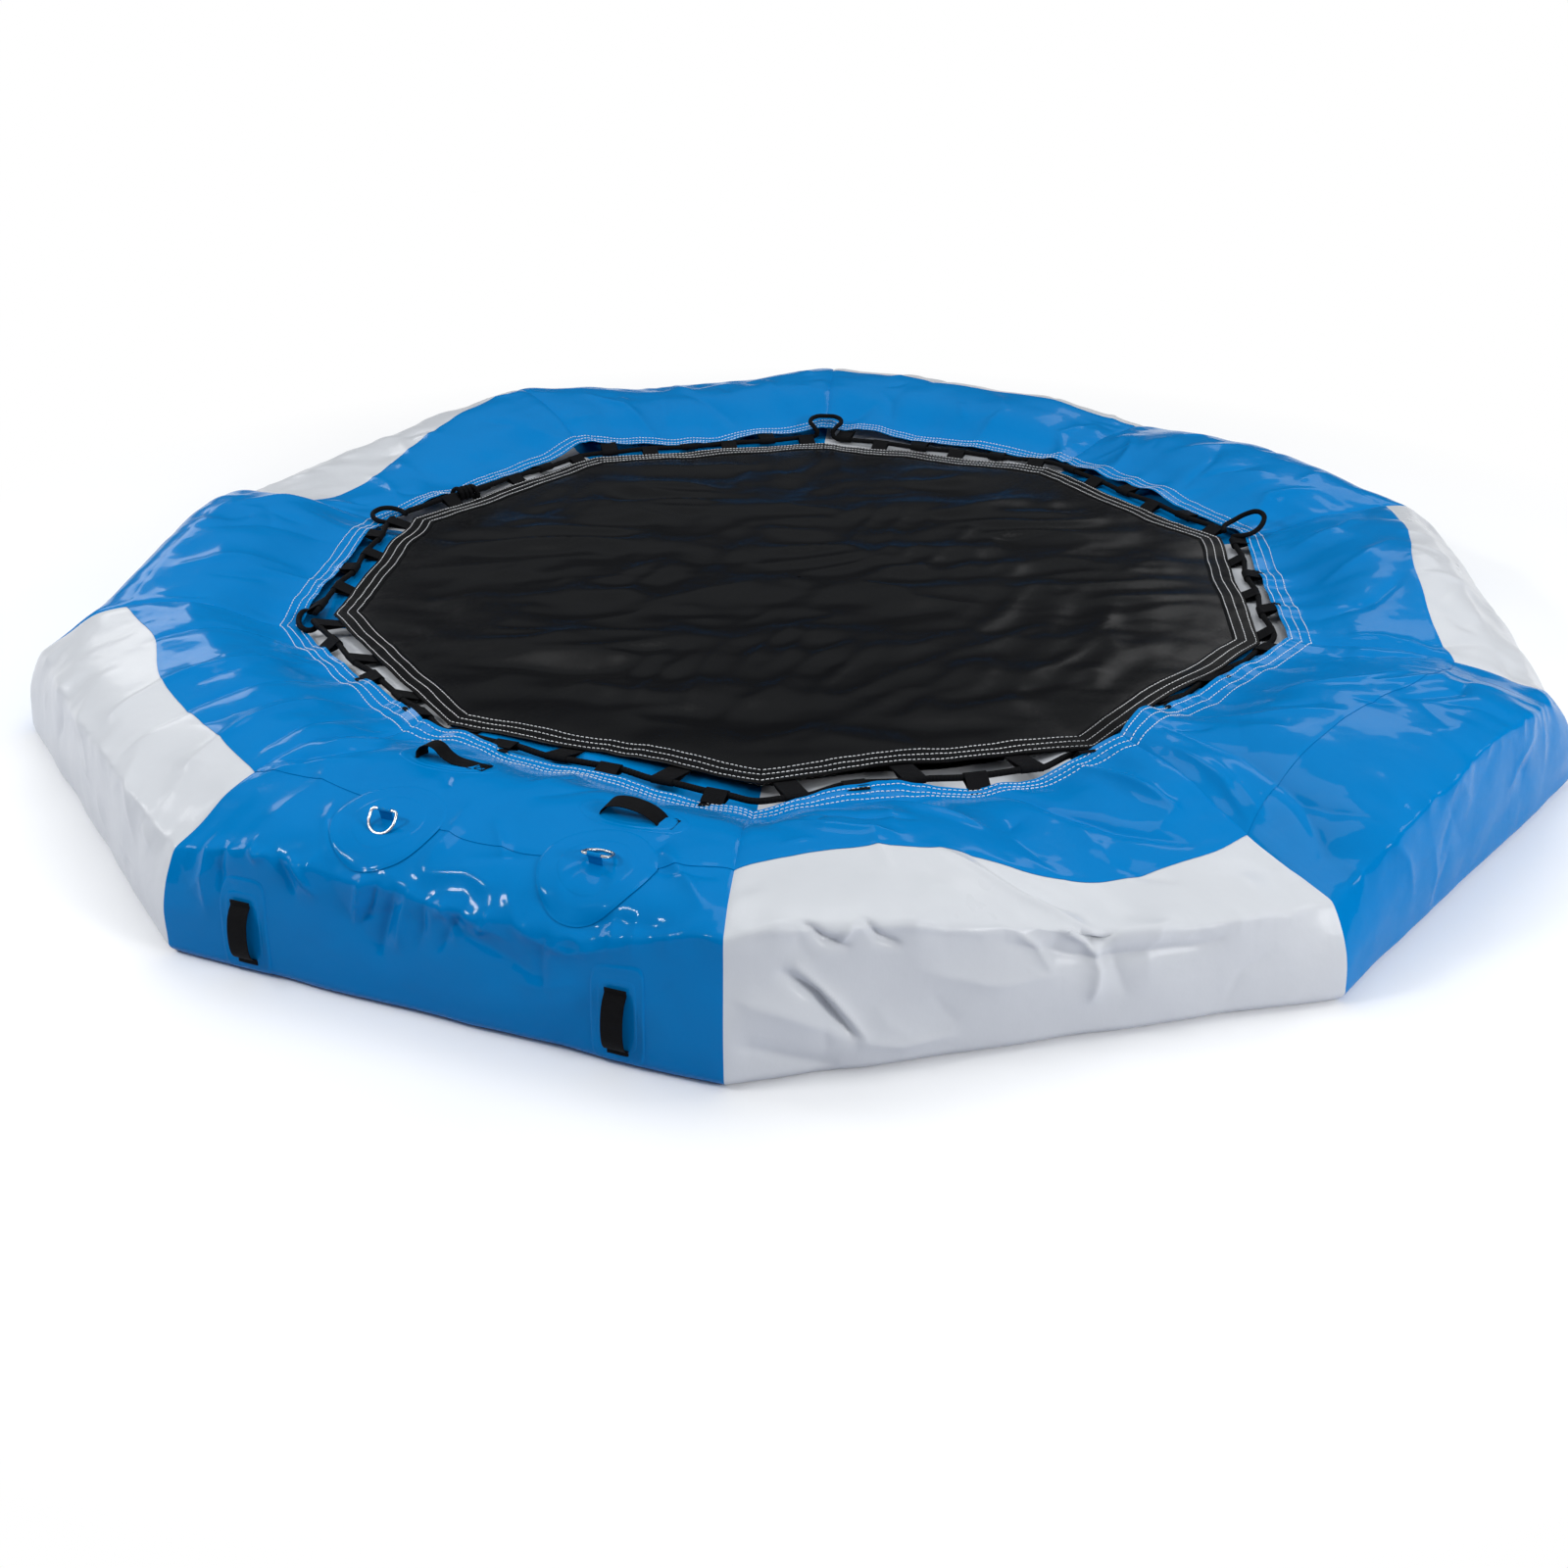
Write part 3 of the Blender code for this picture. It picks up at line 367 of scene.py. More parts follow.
@dataclass(frozen=True)
class Steel:
    """Drawn stainless wire: fine scratches round it and dulled patches."""

    name: str
    slot: str
    colour: Point
    dull: Point

    def material(self) -> bpy.types.Material:
        """The steel as nodes."""
        make = Weaver(self.name)
        place = make.place()
        haze = (make.noise(place, 60.0, 4.0, 0.65) * 2.2 - 0.7).clamped()
        drawn = make.noise(make.stretched(place, (120.0, 120.0, 1500.0)), 1.0, 3.0)
        tone = make.blend(haze * 0.6 + drawn * 0.2, self.colour, self.dull)
        roughness = 0.14 + haze * 0.16 + drawn * 0.06
        return make.finish(
            Base_Color=tone, Metallic=1.0, Roughness=roughness, Normal=make.relief(drawn, 0.00012, 0.5)
        )


@dataclass(frozen=True)
class ValvePlastic:
    """Moulded black plastic with a fine spark finish and handled edges."""

    name: str
    slot: str
    colour: Point
    handled: Point

    def material(self) -> bpy.types.Material:
        """The plastic as nodes."""
        make = Weaver(self.name)
        place = make.place()
        grain = make.noise(place, 1800.0, 2.0)
        touch = (make.noise(place, 70.0, 4.0, 0.6) * 2.4 - 0.9).clamped()
        tone = make.blend(touch * 0.6 + grain * 0.25, self.colour, self.handled)
        return make.finish(
            Base_Color=tone, Roughness=0.36 + touch * 0.18, Normal=make.relief(grain, 0.00015, 0.5)
        )


@dataclass
class Finishes:
    """Every finish of the trampoline, made once."""

    blue: CoatedCloth = CoatedCloth(
        "blue_coated_cloth", "blue_pvc", (0.0, 0.194, 0.515), (0.0, 0.164, 0.465), (0.004, 0.245, 0.580),
        0.14, 0.15, (0.15, 0.72, 1.0), 0.02,
    )
    white: CoatedCloth = CoatedCloth(
        "white_coated_cloth", "white_pvc", (0.615, 0.630, 0.655), (0.570, 0.587, 0.616),
        (0.675, 0.685, 0.698), 0.24, 0.06, (1.0, 1.0, 1.0), 0.12,
    )
    mat: MeshCloth = MeshCloth(
        "black_mat_cloth", "mat_mesh", (0.0007, 0.0007, 0.0009), (0.0020, 0.0020, 0.0025),
        0.0016, 0.25, 0.120,
    )
    hem: MeshCloth = MeshCloth(
        "black_hem_cloth", "hem_cloth", (0.0009, 0.0009, 0.0011), (0.0024, 0.0024, 0.0029),
        0.0011, 0.32, 0.080,
    )
    webbing: Webbing = Webbing(
        "black_webbing", "webbing", (0.0025, 0.0025, 0.003), (0.0090, 0.0090, 0.0100), 0.0022
    )
    rope: Braid = Braid(
        "black_braided_rope", "rope", (0.0022, 0.0022, 0.0026), (0.0085, 0.0085, 0.0095), 8, 0.016
    )
    thread: Thread = Thread("white_thread", "hem_cloth", (0.88, 0.89, 0.90), (0.66, 0.68, 0.71))
    steel: Steel = Steel("stainless_wire", "stainless", (0.66, 0.66, 0.67), (0.46, 0.46, 0.47))
    plastic: ValvePlastic = ValvePlastic(
        "black_valve_plastic", "valve_plastic", (0.016, 0.017, 0.019), (0.035, 0.037, 0.040)
    )
    made: dict[str, bpy.types.Material] = field(default_factory=dict)

    def dress(self, piece: Piece, finish: object) -> None:
        """Gives a piece its material."""
        if finish.name not in self.made:
            self.made[finish.name] = finish.material()
        piece.data.materials.clear()
        piece.data.materials.append(self.made[finish.name])


# --- Noise and meshes ---


@dataclass(frozen=True)
class Ripple:
    """Smooth seeded noise over places in space."""

    seed: int

    def at(self, x: Array, y: Array, z: Array | float = 0.0) -> Array:
        """Gradient noise, about -1 to 1, that changes over one unit.

        Args:
            x, y, z: the places, in units of the noise.

        Returns:
            The noise at each place.
        """
        x, y, z = np.broadcast_arrays(x, y, z)
        corners = [np.floor(axis).astype(np.int64) for axis in (x, y, z)]
        inside = [axis - corner for axis, corner in zip((x, y, z), corners)]
        eased = [part**3 * (part * (part * 6 - 15) + 10) for part in inside]
        total = np.zeros(x.shape)
        for step in range(8):
            way = [(step >> shift) & 1 for shift in range(3)]
            mixed = self.seed * 1013904223
            for corner, add, prime in zip(corners, way, (374761393, 668265263, 2246822519)):
                mixed = (mixed + (corner + add) * prime) & 0xFFFFFFFF
            mixed = ((mixed ^ (mixed >> 13)) * 1274126177) & 0xFFFFFFFF
            mixed = mixed ^ (mixed >> 16)
            turn = (mixed & 0xFFF) / 0xFFF * 2 * np.pi
            lift = ((mixed >> 12) & 0xFFF) / 0xFFF * 2 - 1
            flat = np.sqrt(1 - lift**2)
            reach = [part - add for part, add in zip(inside, way)]
            slope = reach[0] * flat * np.cos(turn) + reach[1] * flat * np.sin(turn) + reach[2] * lift
            weight = np.ones(x.shape)
            for part, add in zip(eased, way):
                weight = weight * (part if add else 1 - part)
            total += weight * slope
        return total * 1.6

    def creased(self, x: Array, y: Array, z: Array | float = 0.0) -> Array:
        """Noise with sharp crests, from about -1 in its hollows to 1 on its crests."""
        return 1 - 2.6 * np.abs(self.at(x, y, z))


def smooth_step(low: float, high: float, value: Array) -> Array:
    """0 below low, 1 above high, and an even turn between them."""
    share = np.clip((value - low) / (high - low), 0.0, 1.0)
    return share * share * (3 - 2 * share)


def new_piece(name: str, bm: Surface, smooth_angle: float = 35.0) -> Piece:
    """Makes an object of a bmesh and shades it smooth below an angle.

    Args:
        name: the piece's name.
        bm: its mesh, which is freed.
        smooth_angle: edges sharper than this stay sharp, in degrees.

    Returns:
        The object, at the origin.
    """
    mesh = bpy.data.meshes.new(name)
    bm.to_mesh(mesh)
    bm.free()
    mesh.shade_smooth()
    mesh.set_sharp_from_angle(angle=math.radians(smooth_angle))
    piece = bpy.data.objects.new(name, mesh)
    bpy.context.scene.collection.objects.link(piece)
    return piece


def draped_grid(
    columns: int, rows: int, place: Callable[[Array, Array], Array],
    size: tuple[float, float] = (1.0, 1.0),
) -> Surface:
    """A grid laid over a surface.

    Args:
        columns: faces across.
        rows: faces up.
        place: gives the place of each point from its shares across and up, from 0 to 1.
        size: the cloth's size for its map, in metres.

    Returns:
        The grid as a bmesh, with its map.
    """
    bm = bmesh.new()
    bm.loops.layers.uv.new("cloth")
    bmesh.ops.create_grid(bm, x_segments=columns, y_segments=rows, size=0.5, calc_uvs=True)
    mesh = bpy.data.meshes.new("draped")
    bm.to_mesh(mesh)
    bm.clear()
    count = len(mesh.vertices)
    flat = np.empty(count * 3)
    mesh.vertices.foreach_get("co", flat)
    flat = flat.reshape(-1, 3)
    mesh.vertices.foreach_set("co", place(flat[:, 0] + 0.5, flat[:, 1] + 0.5).ravel())
    layer = mesh.uv_layers[0].data
    uvs = np.empty(len(layer) * 2)
    layer.foreach_get("uv", uvs)
    layer.foreach_set("uv", (uvs.reshape(-1, 2) * size).ravel())
    bm.from_mesh(mesh)
    bpy.data.meshes.remove(mesh)
    bm.normal_update()
    return bm


def face_along(bm: Surface, way: Vector) -> None:
    """Turns an open surface over if most of it faces against the way."""
    bm.normal_update()
    if sum(face.normal.dot(way) * face.calc_area() for face in bm.faces) < 0:
        bmesh.ops.reverse_faces(bm, faces=bm.faces)
        bm.normal_update()


def thicken(bm: Surface, thickness: float) -> None:
    """Gives an open surface its thickness, below the side that it faces."""
    bmesh.ops.solidify(bm, geom=bm.faces, thickness=thickness)
    bmesh.ops.recalc_face_normals(bm, faces=bm.faces)


def side_frame(side: int) -> Matrix:
    """Turns X to point out through a side's middle, and Y along the side."""
    return Matrix.Rotation((2 * side - 1) * math.pi / SIDES, 4, "Z")


def corner_frame(side: int) -> Matrix:
    """Turns X to point out through a side's last corner."""
    return side_frame(side) @ Matrix.Rotation(math.pi / SIDES, 4, "Z")


def middle_angle(side: int) -> float:
    """The angle of a side's middle round the ring, in degrees."""
    return TURN * side - TURN / 2


def to_ring(side: int, out: Array, along: Array, height: Array) -> Array:
    """Places in a side's frame as places in the ring's frame, one to a row."""
    turn = (2 * side - 1) * math.pi / SIDES
    cos, sin = math.cos(turn), math.sin(turn)
    return np.stack([out * cos - along * sin, out * sin + along * cos, height], axis=-1)


def round_cord(
    name: str, places: Sequence[Vector], radius: float, sides: int, closed: bool = False
) -> Piece:
    """A round cord or wire along places, as a mesh with its map round and along it.

    Args:
        name: the piece's name.
        places: its centre line.
        radius: its half thickness.
        sides: faces round it.
        closed: True if its ends join.

    Returns:
        The object.
    """
    count = len(places)
    centre = np.array([tuple(place) for place in places])
    ahead, behind = np.roll(centre, -1, axis=0), np.roll(centre, 1, axis=0)
    if not closed:
        ahead[-1], behind[0] = centre[-1], centre[0]
    tangent = ahead - behind
    tangent /= np.linalg.norm(tangent, axis=1)[:, None]
    across = np.zeros_like(centre)
    start = np.cross(tangent[0], (0.31, 0.22, 0.92))
    across[0] = start / np.linalg.norm(start)
    for index in range(1, count):
        carried = across[index - 1] - tangent[index] * (across[index - 1] @ tangent[index])
        across[index] = carried / np.linalg.norm(carried)
    second = np.cross(tangent, across)
    if closed:
        end = across[-1] - tangent[0] * (across[-1] @ tangent[0])
        slip = math.atan2(end @ second[0], end @ across[0])
        twist = -slip * np.arange(count) / count
    else:
        twist = np.zeros(count)
    steps = np.linalg.norm(np.diff(centre, axis=0), axis=1)
    length = float(steps.sum())

    def place(round_share: Array, along_share: Array) -> Array:
        """A point of the cord's skin."""
        index = np.rint(along_share * (count if closed else count - 1)).astype(int) % count
        angle = -2 * np.pi * round_share + twist[index]
        rim = across[index] * np.cos(angle)[:, None] + second[index] * np.sin(angle)[:, None]
        return centre[index] + rim * radius

    bm = draped_grid(sides, count if closed else count - 1, place, (1.0, length))
    bmesh.ops.remove_doubles(bm, verts=bm.verts, dist=radius / 200)
    rims = [edge for edge in bm.edges if edge.is_boundary]
    if rims:
        bmesh.ops.holes_fill(bm, edges=rims, sides=0)
    bmesh.ops.recalc_face_normals(bm, faces=bm.faces)
    return new_piece(name, bm, 60.0)


def eased_line(points: Sequence[Sequence[float]], step: float, closed: bool = False) -> list[Vector]:
    """A smooth line through points, with a place every step."""
    path = [Vector(point) for point in points]
    count = len(path)
    places: list[Vector] = []
    for index in range(count if closed else count - 1):
        if closed:
            four = [path[(index + shift) % count] for shift in (-1, 0, 1, 2)]
        else:
            four = [path[min(max(index + shift, 0), count - 1)] for shift in (-1, 0, 1, 2)]
        before, start, end, after = four
        cuts = max(1, round((end - start).length / step))
        for cut in range(cuts):
            share = cut / cuts
            places.append(
                0.5 * (
                    2 * start + (end - before) * share
                    + (2 * before - 5 * start + 4 * end - after) * share**2
                    + (3 * start - before - 3 * end + after) * share**3
                )
            )
    if not closed:
        places.append(path[-1].copy())
    return places


# --- The ring's shape ---


@dataclass(frozen=True)
class Fold:
    """A crease in one side's skin: its line along and up the skin, how high it stands and how wide."""

    line: tuple[Pair, ...]
    height: float
    width: float
    roundness: float = 0.0035

    def rise(self, along: Array, up: Array) -> Array:
        """How far the fold lifts each place of its side's skin."""
        best = np.full(along.shape, 1e9)
        share_at = np.zeros(along.shape)
        lengths = [math.dist(a, b) for a, b in zip(self.line, self.line[1:])]
        done, total = 0.0, sum(lengths)
        for (a, b), length in zip(zip(self.line, self.line[1:]), lengths):
            way = ((b[0] - a[0]) / length, (b[1] - a[1]) / length)
            run = np.clip((along - a[0]) * way[0] + (up - a[1]) * way[1], 0, length)
            away = np.hypot(along - a[0] - run * way[0], up - a[1] - run * way[1])
            nearer = away < best
            best = np.where(nearer, away, best)
            share_at = np.where(nearer, (done + run) / total, share_at)
            done += length
        taper = np.sqrt(np.clip(np.sin(np.pi * (0.04 + 0.92 * share_at)), 0, 1))
        fall = np.exp(-(np.sqrt(best**2 + self.roundness**2) - self.roundness) / self.width)
        return self.height * taper * fall


# How the slack ring stands at angles round it: angle in degrees; the crease between wall and top (out,
# height); heights of the shoulder, the outer top, the crown, the brow and the inner slope; the apron's
# free edge (out, height), how steeply it curls up there, and how far out it is welded to the tube.
STATIONS = (
    (0.0, 1.790, 0.225, 0.268, 0.290, 0.285, 0.278, 0.256, 1.225, 0.248, 0.15, 1.640),
    (9.0, 1.815, 0.240, 0.280, 0.312, 0.322, 0.310, 0.268, 1.222, 0.255, 0.15, 1.640),
    (18.0, 1.825, 0.240, 0.284, 0.320, 0.334, 0.320, 0.272, 1.222, 0.262, 0.10, 1.640),
    (27.0, 1.820, 0.228, 0.268, 0.298, 0.318, 0.308, 0.270, 1.222, 0.262, 0.10, 1.645),
    (36.0, 1.790, 0.205, 0.230, 0.248, 0.260, 0.260, 0.246, 1.230, 0.246, 0.10, 1.650),
    (45.0, 1.835, 0.240, 0.282, 0.312, 0.324, 0.310, 0.270, 1.222, 0.258, 0.10, 1.650),
    (54.0, 1.850, 0.245, 0.292, 0.325, 0.336, 0.322, 0.276, 1.222, 0.264, 0.10, 1.650),
    (63.0, 1.850, 0.252, 0.298, 0.332, 0.342, 0.328, 0.282, 1.222, 0.268, 0.10, 1.650),
    (72.0, 1.825, 0.265, 0.314, 0.340, 0.346, 0.334, 0.296, 1.225, 0.275, 0.05, 1.650),
    (81.0, 1.840, 0.250, 0.290, 0.320, 0.328, 0.312, 0.276, 1.222, 0.258, 0.10, 1.650),
    (89.0, 1.850, 0.240, 0.280, 0.308, 0.312, 0.296, 0.260, 1.222, 0.245, 0.10, 1.650),
    (94.0, 1.850, 0.236, 0.270, 0.294, 0.304, 0.294, 0.262, 1.222, 0.250, 0.10, 1.650),
    (101.0, 1.850, 0.246, 0.290, 0.326, 0.334, 0.318, 0.276, 1.222, 0.260, 0.10, 1.650),
    (108.0, 1.830, 0.250, 0.308, 0.340, 0.338, 0.328, 0.298, 1.216, 0.284, 0.05, 1.665),
    (117.0, 1.850, 0.242, 0.282, 0.312, 0.316, 0.300, 0.262, 1.222, 0.255, 0.10, 1.665),
    (126.0, 1.855, 0.226, 0.250, 0.266, 0.275, 0.268, 0.246, 1.222, 0.245, 0.10, 1.600),
    (135.0, 1.845, 0.200, 0.216, 0.228, 0.240, 0.240, 0.230, 1.225, 0.235, 0.10, 1.520),
    (144.0, 1.800, 0.182, 0.202, 0.218, 0.238, 0.240, 0.228, 1.225, 0.226, 0.15, 1.480),
    (149.0, 1.790, 0.190, 0.246, 0.298, 0.318, 0.304, 0.262, 1.225, 0.250, 0.15, 1.560),
    (155.0, 1.790, 0.200, 0.262, 0.318, 0.338, 0.322, 0.274, 1.225, 0.258, 0.15, 1.620),
    (162.0, 1.795, 0.205, 0.264, 0.322, 0.340, 0.324, 0.276, 1.222, 0.262, 0.20, 1.640),
    (171.0, 1.800, 0.205, 0.256, 0.308, 0.332, 0.316, 0.268, 1.228, 0.250, 0.20, 1.640),
    (180.0, 1.825, 0.218, 0.262, 0.302, 0.316, 0.296, 0.240, 1.240, 0.222, 0.20, 1.630),
    (189.0, 1.858, 0.248, 0.286, 0.318, 0.326, 0.308, 0.258, 1.250, 0.240, 0.25, 1.625),
    (198.0, 1.866, 0.258, 0.296, 0.324, 0.332, 0.314, 0.264, 1.245, 0.250, 0.25, 1.690),
    (207.0, 1.862, 0.256, 0.292, 0.320, 0.332, 0.316, 0.270, 1.232, 0.262, 0.30, 1.668),
    (213.0, 1.846, 0.232, 0.268, 0.308, 0.334, 0.320, 0.280, 1.222, 0.276, 0.35, 1.650),
    (216.0, 1.834, 0.222, 0.256, 0.300, 0.335, 0.318, 0.276, 1.226, 0.278, 0.40, 1.640),
    (222.0, 1.864, 0.282, 0.314, 0.333, 0.339, 0.323, 0.276, 1.244, 0.264, 0.30, 1.650),
    (228.0, 1.868, 0.264, 0.308, 0.335, 0.340, 0.323, 0.272, 1.254, 0.252, 0.20, 1.700),
    (234.0, 1.868, 0.252, 0.307, 0.335, 0.340, 0.316, 0.267, 1.260, 0.248, 0.16, 1.750),
    (240.0, 1.868, 0.244, 0.307, 0.335, 0.340, 0.311, 0.262, 1.264, 0.245, 0.16, 1.750),
    (247.0, 1.864, 0.262, 0.312, 0.335, 0.339, 0.305, 0.252, 1.276, 0.242, 0.25, 1.720),
    (252.0, 1.850, 0.312, 0.326, 0.331, 0.328, 0.298, 0.238, 1.296, 0.237, 0.40, 1.660),
    (257.0, 1.864, 0.322, 0.333, 0.337, 0.330, 0.306, 0.246, 1.270, 0.258, 0.60, 1.640),
    (263.0, 1.868, 0.302, 0.322, 0.330, 0.322, 0.300, 0.250, 1.258, 0.272, 0.60, 1.650),
    (267.0, 1.868, 0.262, 0.282, 0.296, 0.300, 0.284, 0.244, 1.266, 0.250, 0.50, 1.650),
    (271.0, 1.868, 0.234, 0.240, 0.248, 0.264, 0.258, 0.232, 1.284, 0.233, 0.50, 1.685),
    (275.0, 1.868, 0.216, 0.222, 0.228, 0.250, 0.250, 0.232, 1.290, 0.232, 0.50, 1.705),
    (281.0, 1.866, 0.212, 0.218, 0.228, 0.256, 0.260, 0.244, 1.268, 0.246, 0.50, 1.680),
    (285.0, 1.850, 0.202, 0.210, 0.218, 0.256, 0.272, 0.266, 1.240, 0.276, 0.45, 1.650),
    (288.0, 1.810, 0.186, 0.194, 0.202, 0.248, 0.284, 0.296, 1.228, 0.298, 0.30, 1.590),
    (292.0, 1.845, 0.240, 0.262, 0.278, 0.304, 0.308, 0.306, 1.210, 0.312, 0.20, 1.590),
    (296.0, 1.860, 0.282, 0.302, 0.318, 0.324, 0.314, 0.290, 1.208, 0.290, 0.25, 1.592),
    (302.0, 1.866, 0.304, 0.324, 0.335, 0.334, 0.318, 0.268, 1.210, 0.262, 0.35, 1.596),
    (307.0, 1.868, 0.314, 0.332, 0.339, 0.339, 0.322, 0.270, 1.212, 0.264, 0.35, 1.605),
    (315.0, 1.862, 0.296, 0.316, 0.328, 0.326, 0.310, 0.264, 1.220, 0.262, 0.30, 1.640),
    (321.0, 1.835, 0.240, 0.258, 0.272, 0.288, 0.284, 0.264, 1.222, 0.262, 0.20, 1.620),
    (324.0, 1.775, 0.218, 0.228, 0.238, 0.268, 0.276, 0.268, 1.222, 0.264, 0.20, 1.584),
    (330.0, 1.790, 0.218, 0.246, 0.266, 0.290, 0.290, 0.266, 1.222, 0.260, 0.20, 1.580),
    (342.0, 1.800, 0.226, 0.276, 0.318, 0.330, 0.316, 0.268, 1.222, 0.260, 0.20, 1.590),
    (351.0, 1.800, 0.228, 0.276, 0.312, 0.324, 0.310, 0.266, 1.222, 0.255, 0.20, 1.640),
)

